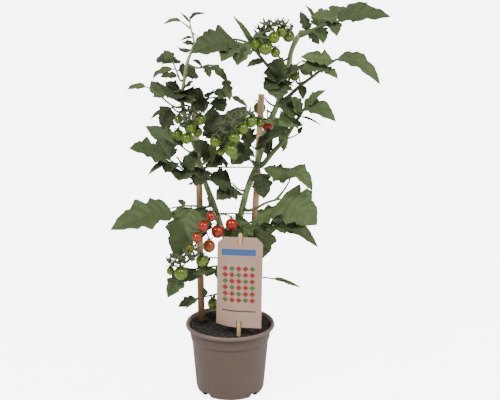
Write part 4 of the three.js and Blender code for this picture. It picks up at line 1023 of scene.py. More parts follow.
# %% [markdown]
# ## The flat leaflet
# A tomato leaf is a stalk with leaflets along it. A leaflet has a short neck, a blade with pointed lobes and
# teeth, a midrib, and side veins that run forward to the lobes. All leaflets start as one flat grid: along it
# run the columns, which will lie along the side veins, and across it the rows. Each copy is then laid out to
# its own outline, folded, puckered between its veins, and bent along its midrib, which is an arc from base to
# tip. No modifier bends by a leaflet's own arc and veins at once, so its points are placed by that formula.

# %% The flat grid and the leaflet's midrib
LEAFLET_COLUMNS = 54
LEAFLET_ROWS = 12
LEAST_ARCH = 2

deselect()
bpy.ops.mesh.primitive_grid_add(x_subdivisions=LEAFLET_COLUMNS, y_subdivisions=LEAFLET_ROWS, size=2)
flat_leaflet = bpy.context.object
flat_leaflet.name = "flat_leaflet"
FLAT = [((v.co.x + 1) / 2, v.co.y) for v in flat_leaflet.data.vertices]
print("leaflet grid:", len(FLAT), "points")


def midrib(base, tip, arch, roll, facing):
    """A function that gives the point a share along a leaflet, so far to one side and lifted so much."""
    chord = tip - base
    along = chord.normalized()
    upper = (facing - along * facing.dot(along)).normalized()
    upper.rotate(Matrix.Rotation(math.radians(roll), 3, along))
    side = upper.cross(along)
    half = math.radians(max(arch, LEAST_ARCH)) / 2
    radius = chord.length / (2 * math.sin(half))

    def place(share, sideways, lift):
        turn = half * (2 * share - 1)
        normal = upper * math.cos(turn) + along * math.sin(turn)
        forward = along * radius * (math.sin(turn) + math.sin(half))
        up = upper * radius * (math.cos(turn) - math.cos(half))
        return base + forward + up + (side * sideways + normal * lift) * MM

    return place


# %% The leaflet's outline
BLADE_RISE = 0.5
BLADE_FALL = 1.05
BLADE_PEAK = 2.643
LOBE_TIP = 0.72
LOBE_NOTCH = 0.98
LOBE_CREST = LOBE_TIP + 1 - LOBE_NOTCH
LOBE_SPARE = 0.45
LOBE_DEPTH = 0.5
TEETH_PER_LOBE = 3
TOOTH_DEPTH = 0.12
TOOTH_FADE = 0.5


def blade_edge(share, lobes, offset):
    """Half the width of a blade with lobes and teeth, as a share of its widest."""
    full = BLADE_PEAK * share**BLADE_RISE * (1 - share) ** BLADE_FALL
    place = share * (lobes + LOBE_SPARE) + offset
    number = math.floor(place - LOBE_NOTCH)
    run = place - LOBE_NOTCH - number
    depth = LOBE_DEPTH * (1 - share)
    cut_in = 0
    if run < LOBE_CREST and number >= 0:
        cut_in = depth * (1 - math.sin(run / LOBE_CREST * math.pi / 2))
    elif run >= LOBE_CREST and number + 1 <= lobes - 2:
        cut_in = depth * (run - LOBE_CREST) / (1 - LOBE_CREST)
    tooth = TOOTH_DEPTH * (1 - (place * TEETH_PER_LOBE) % 1) * (1 - share * TOOTH_FADE)
    return full * (1 - cut_in) * (1 - tooth)


# %% The leaflet's form
NECK_COLUMNS = 0.07
NECK_HALF_WIDTH = 0.9
NARROW_BLADE = 12
FOLD = 0.16
FOLD_POWER = 1.2
WAVE = 0.09
WAVE_TURN = 14
RUFFLE = 0.09
RUFFLE_TURN = 9
RUFFLE_POWER = 3
PUCKER = 0.09
VEIN_SLANT = 1.55
VEIN_SLANT_FADE = 1.3
UNEVEN = 0.14
FACING = Vector((0, -0.75, 1))
FACING_AWAY = Vector((0, -1.1, 1))
TURNS_AWAY = 12
TONE_SEED = 500


def lay_out(base, spec, seed, tone_and_light):
    """A copy of the flat leaflet, laid out to its own outline and bent along its midrib."""
    width, neck, lobes = spec["width"], spec["neck"], spec["lobes"]
    lobes = lobes or (3 if width > NARROW_BLADE else 2)
    facing = FACING_AWAY if spec["tip"][2] > TURNS_AWAY else FACING
    place = midrib(base, seen(*spec["tip"]), spec["arch"], spec["roll"], facing)
    phase = chance(seed) * 2 * math.pi
    # A random tone, scaled per leaf as painted light and shade.
    tone = chance(seed + TONE_SEED) * tone_and_light
    uneven = {sign: UNEVEN * (chance(seed + sign) - 0.5) for sign in (-1, 1)}
    twin = copy_of(flat_leaflet, "leaflet")
    marks = twin.data.attributes.new("leaf_place", "FLOAT_VECTOR", "POINT")
    for vertex, mark, (run, across) in zip(twin.data.vertices, marks.data, FLAT):
        sign, out = (1 if across > 0 else -1), abs(across)
        blade = max(0, (run - NECK_COLUMNS) / (1 - NECK_COLUMNS))
        half = max(NECK_HALF_WIDTH * (1 - blade), width / 2 * blade_edge(blade, lobes, uneven[sign]))
        slanted = mix(blade**VEIN_SLANT, blade, out**VEIN_SLANT_FADE)
        share = neck + (1 - neck) * slanted if run > NECK_COLUMNS else neck * run / NECK_COLUMNS
        vein = blade * (lobes + LOBE_SPARE)
        wave = FOLD + math.sin(phase + sign + share * WAVE_TURN) * WAVE if blade > 0 else 0
        ruffle = RUFFLE * math.sin(vein * RUFFLE_TURN + phase * 3 + sign) * out**RUFFLE_POWER
        pucker = PUCKER * abs(math.sin((vein - LOBE_TIP) * 2 * math.pi)) * 4 * out * (1 - out)
        vertex.co = place(share, half * across, half * (wave * out**FOLD_POWER + ruffle + pucker))
        mark.vector = (vein, half * across, tone)
    return twin


# %% [markdown]
# ## The leaves
# Each leaf is a table entry: the leader that carries it, a scale for the random tone of its leaflets, which
# also paints light and shade (low on leaves that lie in shadow, high on leaves that should look lit), and its
# branches. A branch is a stalk's points, its radius in millimetres where it is thick, and leaflets. A leaflet
# leaves the stalk at a share of its length, has a place for its tip and a width in millimetres, and arches by
# so many degrees. It may also roll about its midrib by some degrees, and have a neck or a number of lobes of
# its own. All the leaf's leaflets are joined and given their thickness, with the underside in a finish of its
# own. Its stalks, thicker where they leave the stem, are a second piece.


# %% The table of leaves
def leaflet(at, tip, width, arch=35, roll=0, neck=0.1, lobes=None):
    return {"at": at, "tip": tip, "width": width, "arch": arch, "roll": roll, "neck": neck, "lobes": lobes}


def branch(stalk, leaflets, thick=None):
    return {"stalk": stalk, "leaflets": leaflets, "thick": thick}


# The second value of each leaf scales its random tone and paints light and shade: low in shadow, high where
# lit.
LEAVES = {
    "leaf_low_left": ("left", 1, [
        branch([(207, 207, -2), (196, 206, -12), (184, 206, -28), (171, 208, -42)], [
            leaflet(1, (110, 230, -96), 57, 18, neck=0.03),
            leaflet(0.52, (176, 260, -42), 59, 16, neck=0.04),
            leaflet(0.2, (196, 242, -18), 42, 26, neck=0.05), leaflet(0.68, (178, 200, -14), 10, 60),
            leaflet(0.14, (206, 193, -22), 20, 30),
        ], thick=2.1),
    ]),
    "leaf_low_right": ("right", 1, [
        branch([(248, 210.5, 0), (256, 208, -6), (268, 202, -20), (280, 199, -30)], [
            leaflet(1, (317, 225, -54), 70, 64, roll=8, neck=0.03),
        ], thick=2.8),
        branch([(276, 200, -27), (284, 190, -18), (290, 180, -12)], [
            leaflet(1, (312, 191, -50), 33, 185), leaflet(1, (263, 168, -8), 34, 16),
            leaflet(0.97, (290, 168, 40), 34, 40),
        ], thick=1.7),
    ]),
    "leaf_behind_label": ("right", 1.5, [
        branch([(245, 224, 2), (254, 221, -6), (263, 219, -9), (273, 218, -10)], [
            leaflet(1, (318.5, 248, -86), 31, 64, neck=0.03), leaflet(1, (299, 235, -40), 32, 24),
            leaflet(0.5, (285, 209, -24), 34, 16), leaflet(0.72, (260, 261, -14), 49, 26, neck=0.05),
            leaflet(0.4, (224, 244, -14), 50, 36, neck=0.05), leaflet(0.98, (286, 234, -24), 26, 40),
            leaflet(0.5, (236, 262, -12), 34),
        ], thick=1.9),
    ]),
    "leaf_fork": ("right", 0.3, [
        branch([(258, 172, -2), (260, 171, -8)], [
            leaflet(1, (264, 199, -18), 34, 20), leaflet(0.7, (249, 160, -22), 16),
        ]),
    ]),
    "leaf_right_middle": ("right", 1.5, [
        branch([
            (262, 165, 2), (273, 152, -6), (284, 140, -12), (293, 126, -18), (299, 117, -22),
            (303, 110, -26),
        ], [
            leaflet(1, (336, 122, -76), 37, 92, neck=0.04, lobes=2),
            leaflet(0.99, (326, 90, -56), 24, 30), leaflet(0.93, (291, 97, -40), 32, 20),
            leaflet(0.96, (276, 105, -38), 47, 24), leaflet(0.86, (279, 125, -44), 43, 24),
            leaflet(0.76, (262, 121, -34), 15, 10), leaflet(0.9, (323, 127, -46), 3.9, 50, lobes=1),
        ], thick=4.2),
        branch([(285, 140, -12), (292, 137, -16), (298, 134, -18)], [
            leaflet(1, (303, 126, -20), 7.8, 20, lobes=1),
        ]),
    ]),
    "leaf_right_upper": ("right", 2, [
        branch([(285, 99, -4), (300, 86, -12), (312, 77, -18), (325, 67, -24), (337, 59, -28)], [
            leaflet(1, (380, 85, -70), 31, 112, neck=0.03), leaflet(0.97, (300, 57, -42), 30, 6),
            leaflet(0.86, (302, 69, -50), 36, 12), leaflet(0.78, (338, 79, -56), 18),
            leaflet(0.62, (297, 66, -36), 22, 12), leaflet(0.42, (303, 100, -22), 13, lobes=1),
        ], thick=3.2),
    ]),
    "leaf_right_top": ("right", 1, [
        branch([(308, 32, -13), (318, 28, -18), (328, 22, -22), (338, 17, -24)], [
            leaflet(1, (391, 17, -60), 40, 34, neck=0.02), leaflet(1, (368, 2.5, -20), 24, 10),
            leaflet(0.95, (313, 17, -56), 34, 8), leaflet(0.52, (323.5, 44, -50), 22),
            leaflet(0.84, (337, 36.5, -60), 24), leaflet(0.18, (319.5, 44.5, -10), 20),
            leaflet(0.22, (300, 11, -2), 18, 8), leaflet(0.45, (304.5, 5.5, 4), 6.7, 105, lobes=1),
            leaflet(0.85, (342, 7, 14), 32), leaflet(0.45, (322, 9, -20), 28, 12),
        ], thick=4.2),
    ]),
    "leaf_top_middle": ("right", 0.9, [
        branch([
            (277, 74, -3), (268, 66, -12), (259, 55, -24), (251, 45, -33), (243, 41, -39), (234, 39, -44),
        ], [
            leaflet(1, (191, 53.5, -80), 56, 34, neck=0.03), leaflet(0.95, (221, 62, -94), 34, 14),
            leaflet(0.84, (237, 66, -80), 34, 20), leaflet(0.64, (232, 15, -22), 10, 44, lobes=1),
            leaflet(0.4, (246.5, 67.5, -60), 17), leaflet(0.52, (260, 31, 6), 32),
        ], thick=3),
    ]),
    "shoot_tip_left": ("left", 1, [
        branch([(194, 42, 0), (192, 33, -2), (190, 24, -2), (190, 16, -4)], [
            leaflet(0.82, (180, 12, -2), 4.5, 25, lobes=1),
            leaflet(0.86, (206, 14, -10), 7.8, 120, lobes=1),
            leaflet(0.42, (180, 41, -14), 5.6, 60, lobes=1),
            leaflet(0.26, (182, 43, -4), 10, 15, lobes=1),
            leaflet(0.1, (177.5, 45, -12), 9, 100, roll=180, lobes=1),
            leaflet(0.5, (197, 37, 16), 9, lobes=1),
        ], thick=1.7),
        branch([(190.5, 29, -2), (186, 25, -6), (182, 22, -9)], [
            leaflet(1, (163, 25, -20), 8, 100, lobes=1),
        ]),
    ]),
    "leaf_left_upper": ("left", 1, [
        branch([(180, 80, 6), (177, 72, 14), (173, 63, 22)], [
            leaflet(1, (157, 58, 50), 27, 60), leaflet(0.97, (181, 61, 38), 10, lobes=1),
            leaflet(0.95, (164, 50, 30), 20, 30), leaflet(0.7, (154, 81, 40), 12, 112),
            leaflet(0.36, (160, 77, 18), 12, 70), leaflet(0.65, (199, 77, 42), 29),
        ]),
    ]),
    "leaf_left_far": ("left", 1, [
        branch([(175, 107, 8), (166, 101, 16), (158, 94, 24), (148, 87.5, 32)], [
            leaflet(1, (127, 90, 58), 12, 66), leaflet(0.5, (151, 81, 50), 26, 20),
        ]),
    ]),
    "leaf_left_front": ("left", 0, [
        branch([(181, 95, -4), (180, 91, -18)], [
            leaflet(1, (167, 98, -50), 51, 16), leaflet(0.97, (191, 104, -46), 45, 20),
            leaflet(0.6, (165, 83, -26), 24, 50), leaflet(0.8, (190, 86, -44), 38, 20),
        ]),
    ]),
    "leaf_left_inner": ("left", 0.2, [
        branch([(190, 102, -2), (200, 100, -8), (210, 98, -6), (220, 97, -2)], [
            leaflet(1, (219, 88, 12), 18, lobes=1), leaflet(0.42, (200, 87, -12), 31),
            leaflet(0.72, (213, 91, -30), 20), leaflet(0.46, (204, 113, -28), 31),
            leaflet(0.85, (224, 112, -14), 31),
        ]),
    ]),
    "leaf_left_arching": ("left", 1, [
        branch([(198, 68, -2), (209, 65, -8), (219, 69, -12), (226, 80, -14), (231, 96, -12)], [
            leaflet(0.26, (192, 60, -18), 12, lobes=1), leaflet(0.32, (210, 78, -24), 14, 40),
            leaflet(0.4, (228, 83, -30), 16, 60), leaflet(0.7, (230, 101, -34), 17, 16),
            leaflet(0.92, (218, 99, -32), 22), leaflet(1, (248, 107, -22), 10, 30),
        ]),
    ]),
    "leaf_left_middle": ("left", 0.4, [
        branch([(178, 112, 2), (172, 107, -6)], [
            leaflet(1, (163, 129, 2), 40, 24), leaflet(0.9, (150, 120, -14), 9, 80),
        ]),
    ]),
    "leaf_left_pale": ("left", 1, [
        branch([(190, 152, 8), (185, 149, 14), (181, 146, 18)], [
            leaflet(1, (145, 126, 50), 32, 15, roll=150), leaflet(0.4, (197, 161, -4), 20, roll=20),
            leaflet(0.8, (170, 131, 44), 12, lobes=1),
        ]),
    ]),
    "leaf_left_big": ("left", 0.6, [
        branch([(197, 183, -4), (187, 174, -12), (176, 164, -24), (165, 157, -36)], [
            leaflet(1, (129, 148.5, -82), 49, 20, neck=0.03), leaflet(0.9, (148, 175, -72), 12),
            leaflet(0.5, (179, 181, -50), 45), leaflet(0.5, (177, 157.5, -46), 30, 16),
            leaflet(0.8, (165, 173, -60), 29), leaflet(0.85, (157, 139, -8), 36),
            leaflet(0.22, (203, 184, -30), 31), leaflet(0.5, (197, 160, -24), 42),
        ]),
    ]),
    "leaf_centre_back": ("left", 0.4, [
        branch([(208, 160, 20), (212, 147, 32), (214, 136, 34)], [
            leaflet(1, (211.5, 107, 70), 37, 14), leaflet(0.9, (204, 130, 62), 20),
            leaflet(0.7, (247, 106, 84), 51, 20), leaflet(0.4, (226, 160, 62), 45, 16),
            leaflet(0.75, (240, 146, 94), 51),
        ]),
    ]),
    "leaf_centre_front": ("left", 0.4, [
        branch([(206, 168, -6), (210, 158, -18)], [
            leaflet(1, (193, 141, -30), 36, 14), leaflet(0.95, (217, 145, -30), 36, 16),
            leaflet(0.9, (222, 165, -30), 38, 20), leaflet(0.35, (195, 186, -36), 38, 20),
        ]),
    ]),
    "leaf_centre_low": ("right", 1, [
        branch([(240, 190, 0), (233, 184, -6)], [
            leaflet(1, (208, 179, -24), 48, 20), leaflet(0.6, (216, 200, -34), 41),
        ]),
    ]),
    "leaf_right_inner": ("right", 1, [
        branch([(257, 149, -4), (251, 146, -16)], [
            leaflet(1, (231, 165, -32), 42), leaflet(0.65, (283, 132, -46), 35, 16),
            leaflet(0.95, (240, 128, -26), 38),
        ]),
    ]),
    "leaf_right_back": ("right", 1, [
        branch([(272, 138, 18), (277, 136, 32)], [
            leaflet(1, (288, 143, 46), 42, 16), leaflet(0.7, (263, 151, 46), 40, 20),
            leaflet(0.9, (281, 118, 92), 42), leaflet(0.8, (262, 146, 88), 42),
        ]),
    ]),
    "leaf_top_inner": ("right", 0.5, [
        branch([(281, 81, -10), (278, 80, -24)], [
            leaflet(1, (278, 100, -48), 45, 16), leaflet(0.95, (264, 90, -40), 32),
            leaflet(0.7, (263, 73, -32), 36), leaflet(0.85, (283, 57, -42), 43),
            leaflet(0.9, (301, 69, -52), 38, 20),
        ]),
    ]),
    "leaf_low_small": ("main", 3, [
        branch([(219, 294, 4), (208, 296, -4), (197, 298, -10)], [
            leaflet(1, (178, 307, -18), 20, 25), leaflet(0.96, (185, 309, -26), 7.8, lobes=1),
            leaflet(0.75, (204, 288, 2), 10, lobes=1),
        ]),
    ]),
    "leaf_low_back": ("main", 1, [
        branch([(217, 266, 0), (200, 268, -8), (184, 271, -12)], [
            leaflet(1, (167.5, 298, -44), 32, 14), leaflet(0.75, (189, 282, -30), 32),
            leaflet(0.2, (217, 279, -10), 22), leaflet(0.5, (196, 258, 2), 29),
            leaflet(0.45, (206, 277, -22), 30),
        ]),
    ]),
    "leaf_low_thin": ("main", 1, [
        branch([(245, 274, 10), (262, 277, 6), (282, 280, 0)], [
            leaflet(1, (302, 288, -34), 6, roll=30, lobes=1), leaflet(0.8, (291, 283, 20), 7, lobes=1),
        ]),
    ]),
}

# %% Model the leaves
STALK_RADIUS = 1.7
STALK_TIP_RADIUS = 1.05
SIDE_STALK_RADIUS = 1.2
STALK_TAPER = 0.5
STALK_FOOT_SWELL = 1.35
BLADE_THICKNESS = 0.45
MERGED = 0.02
LEAF_SEEDS = 50
BRANCH_SEEDS = 20


def leaf_paths(carrier, branches):
    """The line of each branch: the first starts at the leader, and the others on the first."""
    paths = []
    for one in branches:
        points = [seen(*place) for place in one["stalk"]]
        if paths:
            points[0] = paths[0].nearest(points[0])
        else:
            points.insert(0, leaders[carrier].nearest(points[0]))
        paths.append(Path(points))
    return paths


def stalk_radii(path, index, thick):
    start = thick or (SIDE_STALK_RADIUS if index else STALK_RADIUS)
    radii = taper(path, start, max(start * STALK_TAPER, STALK_TIP_RADIUS))
    return [radii[0] * STALK_FOOT_SWELL, *radii[1:]]


def close_blade(blade):
    """Merges the ends of the grids, thickens the blades, and gives their undersides a slot of their own."""
    activate(blade)
    bpy.ops.object.mode_set(mode="EDIT")
    bpy.ops.mesh.select_all(action="SELECT")
    bpy.ops.mesh.remove_doubles(threshold=MERGED * MM)
    bpy.ops.object.mode_set(mode="OBJECT")
    blade.data.materials.append(leaf_upper)
    blade.data.materials.append(leaf_under)
    thickness = BLADE_THICKNESS * MM
    modify(blade, "SOLIDIFY", thickness=thickness, offset=0, material_offset=1, material_offset_rim=0)


def model_leaf(name, carrier, tone_and_light, branches, seed):
    """The leaf's blades and its stalks, as two pieces."""
    blades, lines = [], []
    for b, (one, path) in enumerate(zip(branches, leaf_paths(carrier, branches))):
        lines.append((path, stalk_radii(path, b, one["thick"])))
        for i, spec in enumerate(one["leaflets"]):
            blades.append(lay_out(path.at(spec["at"]), spec, seed + b * BRANCH_SEEDS + i, tone_and_light))
    blade = joined(blades, f"{name}_blades")
    close_blade(blade)
    return blade, bars(f"{name}_stalks", lines)


# %% [markdown]
# ## The leaf's finish
# Every point of a blade carries a mark: how far it is along the row of side veins, how far it is from the
# midrib in millimetres, and a tone of its own leaflet, random and scaled per leaf as painted light and shade.
# One node group turns the mark into a mask of the veins. The upper side uses it for fine pale lines sunk in a
# mottled mid green, the underside for raised veins on a paler grey green. The tone leads each from a darker
# green to a lighter one. Both have a bump of small cells, which makes the surface look quilted.

# %% Leaf materials
LEAF_DARK = colour("#1a210f")
LEAF_MID = colour("#323d1f")
LEAF_LIGHT = colour("#4b5a32")
LEAF_VEIN = colour("#5e6c48")
UNDER_DARK = colour("#525c3c")
UNDER_PALE = colour("#6c774f")
UNDER_VEIN = colour("#82926b")
VEINS_PER_LOBE = 2.0
SIDE_VEIN_REACH = 22
SIDE_VEIN_SHARE = 0.7
RIB_WIDTH = 0.75
VEIN_WIDTH = 0.07
VEIN_SHARE = 0.34
TONE_SHARE = 0.85
CELL_SCALE = 620.0
CELL_HEIGHT = -0.25
QUILT_STRENGTH = 0.55
QUILT_DEPTH = 0.5


def vein_group():
    group, given, result = new_group(
        "leaf_veins",
        [("Mark", "Vector", None), ("Rib", "Float", 0.5), ("Vein", "Float", 0.05)],
        [("Mask", "Float"), ("Tone", "Float")],
    )
    along, across, tone = parts_of(group, given["Mark"])
    row = times(group, maths(group, "SUBTRACT", along, LOBE_TIP), VEINS_PER_LOBE)
    to_vein = distance(group, maths(group, "FRACT", maths(group, "ADD", row, 0.5)), 0.5)
    to_rib = maths(group, "ABSOLUTE", across)
    side = times(group, fading(group, to_vein, given["Vein"]), fading(group, to_rib, SIDE_VEIN_REACH))
    rib = fading(group, to_rib, given["Rib"])
    group.links.new(maths(group, "MAXIMUM", times(group, side, SIDE_VEIN_SHARE), rib), result["Mask"])
    group.links.new(tone, result["Tone"])
    return group


VEINS = vein_group()


def leaf_skin(name, dark, light, tone_colour, vein, roughness, raised):
    """One side of the leaf. Raised is the height of its veins in millimetres, below zero if they are sunk."""
    material, tree, shader, place = new_material(
        name, roughness, Specular_IOR_Level=0.25, Sheen_Weight=0.02, Sheen_Roughness=0.6
    )
    mark = add_node(tree, "ShaderNodeAttribute", attribute_name="leaf_place").outputs["Vector"]
    values = {"Mark": mark, "Rib": RIB_WIDTH, "Vein": VEIN_WIDTH}
    veins = add_node(tree, "ShaderNodeGroup", values, node_tree=VEINS).outputs
    body, cloud = mottled(tree, place, 75.0, dark, light, contrast=1.8)
    # The leaflet's tone, partly painted light and shade, leads to the lighter green.
    toned = blended(tree, times(tree, veins["Tone"], TONE_SHARE), body, tone_colour)
    lined = blended(tree, times(tree, veins["Mask"], VEIN_SHARE), toned, vein)
    paint(tree, shader, lined, ranged(tree, cloud, roughness - 0.06, roughness + 0.08))
    values = {"Vector": place, "Scale": CELL_SCALE}
    cells = add_node(tree, "ShaderNodeTexVoronoi", values, feature="SMOOTH_F1")
    heights = maths(
        tree, "ADD", times(tree, cells.outputs[0], CELL_HEIGHT), times(tree, veins["Mask"], raised)
    )
    values = {"Height": heights, "Strength": QUILT_STRENGTH, "Distance": QUILT_DEPTH * MM}
    bump = add_node(tree, "ShaderNodeBump", values)
    tree.links.new(bump.outputs[0], shader.inputs["Normal"])
    return material


leaf_upper = leaf_skin("leaf_upper", LEAF_DARK, LEAF_MID, LEAF_LIGHT, LEAF_VEIN, 0.55, -0.6)
leaf_under = leaf_skin("leaf_under", UNDER_DARK, UNDER_PALE, UNDER_PALE, UNDER_VEIN, 0.68, 0.8)

# %% Make and dress every leaf
leaf_faces = 0
for index, (name, (carrier, tone_and_light, branches)) in enumerate(LEAVES.items()):
    blade, stalks = model_leaf(name, carrier, tone_and_light, branches, index * LEAF_SEEDS)
    dress(blade, name, "leaf", leaf_upper, leaf_under, smooth=180)
    dress(stalks, name, "stem", stem_skin if "shoot" in name else stalk_skin, smooth=60)
    leaf_faces += len(blade.data.polygons) + len(stalks.data.polygons)
bpy.data.objects.remove(flat_leaflet)
print("leaves:", len(LEAVES), "faces:", leaf_faces)

# %% [markdown]
# ## Fruit, calyx and stalk
# A cherry tomato is a nearly round ball with a dimple where its stalk comes in. It hangs by a short stalk
# with a knuckle, where it will part when ripe, and a star of five narrow sepals that curl up. One fruit and
# one star are modelled, and each copy is scaled, turned about its axis and put in its place.

# %% Model one fruit and one star of sepals
DIMPLE_DEPTH = 0.12
DIMPLE_WIDTH = 0.24
SHOULDERS = 5
SHOULDER_SWELL = 0.025
SEPALS = 5
SEPAL_ROOT = 0.5
SEPAL_LENGTH = 7
SEPAL_HALF_WIDTH = 1.7
SEPAL_POINT = 0.6
SEPAL_FOOT = 0.7
SEPAL_FLARE = 0.9
SEPAL_RISE = 1.9
SEPAL_SAG = 0.9
SEPAL_TROUGH = 0.25
SEPAL_THICKNESS = 0.5
SEPAL_SEED = 3
SHORTEST_SEPAL = 0.85
SEPAL_GROWTH = 0.3
LEAST_CURL = 0.6
CURL_GROWTH = 0.9
CURL_SEED = 30


def model_fruit():
    """A fruit of radius 1 with its axis up Z."""
    deselect()
    bpy.ops.mesh.primitive_uv_sphere_add(segments=32, ring_count=22, radius=1)
    ball = bpy.context.object
    for vertex in ball.data.vertices:
        out = math.hypot(vertex.co.x, vertex.co.y)
        if vertex.co.z > 0:
            vertex.co.z -= DIMPLE_DEPTH * math.exp(-((out / DIMPLE_WIDTH) ** 2))
        turn = math.atan2(vertex.co.y, vertex.co.x)
        shoulder = max(0, vertex.co.z) * SHOULDER_SWELL * math.cos(turn * SHOULDERS)
        vertex.co.x *= 1 + shoulder
        vertex.co.y *= 1 + shoulder
    return ball


def model_star():
    """Five curled sepals, in millimetres, around the Z axis."""
    deselect()
    bpy.ops.mesh.primitive_grid_add(x_subdivisions=8, y_subdivisions=2, size=2)
    sepal = bpy.context.object
    for vertex in sepal.data.vertices:
        run, out = (vertex.co.x + 1) / 2, vertex.co.y
        half = SEPAL_HALF_WIDTH * (1 - run) ** SEPAL_POINT * (SEPAL_FOOT + SEPAL_FLARE * run)
        lift = SEPAL_RISE * run**2 - SEPAL_SAG * run - SEPAL_TROUGH * out**2 * (1 - run)
        vertex.co = (SEPAL_ROOT + run * SEPAL_LENGTH, out * half, lift)
    modify(sepal, "SOLIDIFY", thickness=SEPAL_THICKNESS, offset=0)
    sepals = []
    for i in range(SEPALS):
        twin = copy_of(sepal, "sepal")
        length = SHORTEST_SEPAL + SEPAL_GROWTH * chance(i + SEPAL_SEED)
        curl = LEAST_CURL + CURL_GROWTH * chance(i + CURL_SEED)
        turn = Matrix.Rotation(i / SEPALS * 2 * math.pi, 4, "Z")
        twin.data.transform(turn @ Matrix.Diagonal((length, 1, curl, 1)))
        sepals.append(twin)
    bpy.data.objects.remove(sepal)
    return joined(sepals, "star")


model_ball = model_fruit()
model_calyx = model_star()
print("fruit faces:", len(model_ball.data.polygons), "star faces:", len(model_calyx.data.polygons))

# %% [markdown]
# ## The trusses
# A truss is a stalk off a leader with fruit along it. Its entry gives the carrier, the stalk's points, and
# for each fruit the share of the stalk where it hangs, the place of its middle and its radius in
# millimetres. A turning fruit is on its way from green to red: 0 is green, 1 is red. The last list is of
# flowers that have just withered: their stars are curled up and tilted, and only a fruitlet shows in each.


# %% The table of trusses
def fruit(at, centre, radius, ripe=False, turning=None):
    turning = ripe if turning is None else turning
    return {"at": at, "centre": centre, "radius": radius, "ripe": ripe, "turning": turning}


def truss(carrier, stalk, fruits, withered=()):
    return carrier, stalk, fruits + [fruit(at, centre, 0) for at, centre in withered]


TRUSSES = {
    "truss_left": truss("left", [(188, 106, -4), (192, 109, -18), (190, 116, -26), (188, 122, -28)], [
        fruit(0.55, (200, 119.5, -26), 7.8), fruit(0.8, (190, 128, -34), 8),
        fruit(0.7, (178.5, 119.5, -22), 6), fruit(1, (197.5, 132, -18), 7),
        fruit(1, (178, 134.5, -26), 7.4), fruit(1, (186.5, 138.5, -42), 7.5),
    ], [
        (0.6, (195, 112, -36)), (0.6, (184, 113, -34)), (0.9, (182, 125, -38)), (0.3, (189, 111, -34)),
        (0.75, (184, 119, -42)), (0.7, (188, 118, -40)), (0.8, (194, 121, -34)), (0.9, (184, 126, -32)),
    ]),
    "truss_centre": truss("right", [
        (257, 118, -14), (248, 112, -30), (237, 112, -40), (230, 122, -44), (228, 134, -44),
    ], [
        fruit(0.4, (251, 121.5, -46), 8), fruit(0.25, (259.8, 122.5, -28), 6.4),
        fruit(0.55, (243, 128.5, -54), 7.9), fruit(0.8, (234.5, 138, -58), 8.2),
        fruit(0.85, (215.5, 141.5, -46), 8.1), fruit(1, (231, 150, -64), 8.9),
        fruit(1, (233.5, 155, -44), 6.4), fruit(1, (221, 151.5, -40), 5.8),
    ], [
        (0.62, (229, 117, -56)), (0.4, (244, 116, -50)), (0.5, (238, 118, -54)), (0.7, (222, 124, -54)),
        (0.8, (234, 127, -60)), (0.85, (223, 132, -58)), (0.3, (250, 113, -46)), (0.6, (233, 122, -62)),
        (0.7, (227, 127, -50)), (0.85, (228, 134, -52)),
    ]),
    "truss_top": truss("right", [
        (282, 60, -16), (271, 44, -30), (264, 32, -36), (272, 26, -38), (281, 27, -38),
    ], [
        fruit(0.5, (256.5, 43.5, -46), 6.8), fruit(0.6, (265.5, 48.5, -52), 8.8),
        fruit(0.75, (274, 37.5, -50), 8), fruit(0.95, (281.5, 31.5, -38), 7.6),
        fruit(1, (288.5, 36, -26), 8.4), fruit(0.35, (275.5, 52.5, -40), 6.8),
    ], [
        (0.8, (269, 31, -50)), (1, (285, 24, -42)), (0.6, (260, 29, -46)), (0.7, (265, 24, -44)),
        (0.86, (275, 24, -42)), (1, (291, 29, -40)), (0.55, (259, 34, -52)), (0.66, (264, 33, -46)),
        (0.72, (270, 26, -44)), (0.92, (280, 22, -46)), (0.45, (264, 38, -54)),
    ]),
    "truss_ripe": truss("left", [
        (220, 216, -4), (213, 219, -26), (205, 228, -44), (198, 241, -50), (189, 252, -52),
        (176, 263, -52),
    ], [
        fruit(0.06, (231.5, 224.5, -24), 8.8, ripe=True), fruit(0.3, (217.5, 231.5, -32), 9.2, ripe=True),
        fruit(0.42, (203, 226, -58), 7.8, ripe=True), fruit(0.25, (211, 216.5, -42), 7, ripe=True),
        fruit(0.6, (197, 237.5, -61), 7.2, ripe=True, turning=0.9),
        fruit(0.5, (209, 246, -40), 8.9, ripe=True, turning=0.7),
        fruit(0.75, (190.5, 248, -60), 6, turning=0.15), fruit(0.75, (202, 260.5, -48), 8.4),
        fruit(0.95, (181, 273, -58), 9.6), fruit(1, (170.5, 271, -48), 5.8),
    ], [
        (0.86, (184, 260, -64)), (0.9, (192, 258, -66)), (0.95, (175, 257, -62)), (1, (169, 262, -58)),
        (0.7, (196, 250, -64)), (0.8, (187, 254, -70)), (0.9, (180, 258, -70)), (1, (173, 265, -64)),
        (0.95, (178, 263, -66)), (0.9, (185, 262.5, -58)), (0.85, (190, 259, -62)),
        (0.8, (194, 256, -60)), (1, (171, 257, -54)),
    ]),
    "truss_low": truss("main", [(224, 293, 2), (217, 294, -4)], [
        fruit(1, (213, 303.5, -6), 8),
    ]),
    "truss_right": truss("right", [(270, 112, 2), (267, 110, -2)], [
        fruit(1, (267.7, 125.4, -7), 8.1, ripe=True),
    ]),
    "truss_behind_cane": truss("right", [(269, 103, 12), (265, 98, 28)], [
        fruit(1, (259.5, 108, 34), 8.8),
    ]),
    "truss_upper": truss("right", [(292, 68, 2), (299, 63, 10)], [
        fruit(0.8, (294.5, 76, 12), 6.8), fruit(1, (306, 69, 16), 8.8),
    ], [
        (0.8, (300, 84, 10)), (0.6, (289, 83, 8)),
    ]),
}

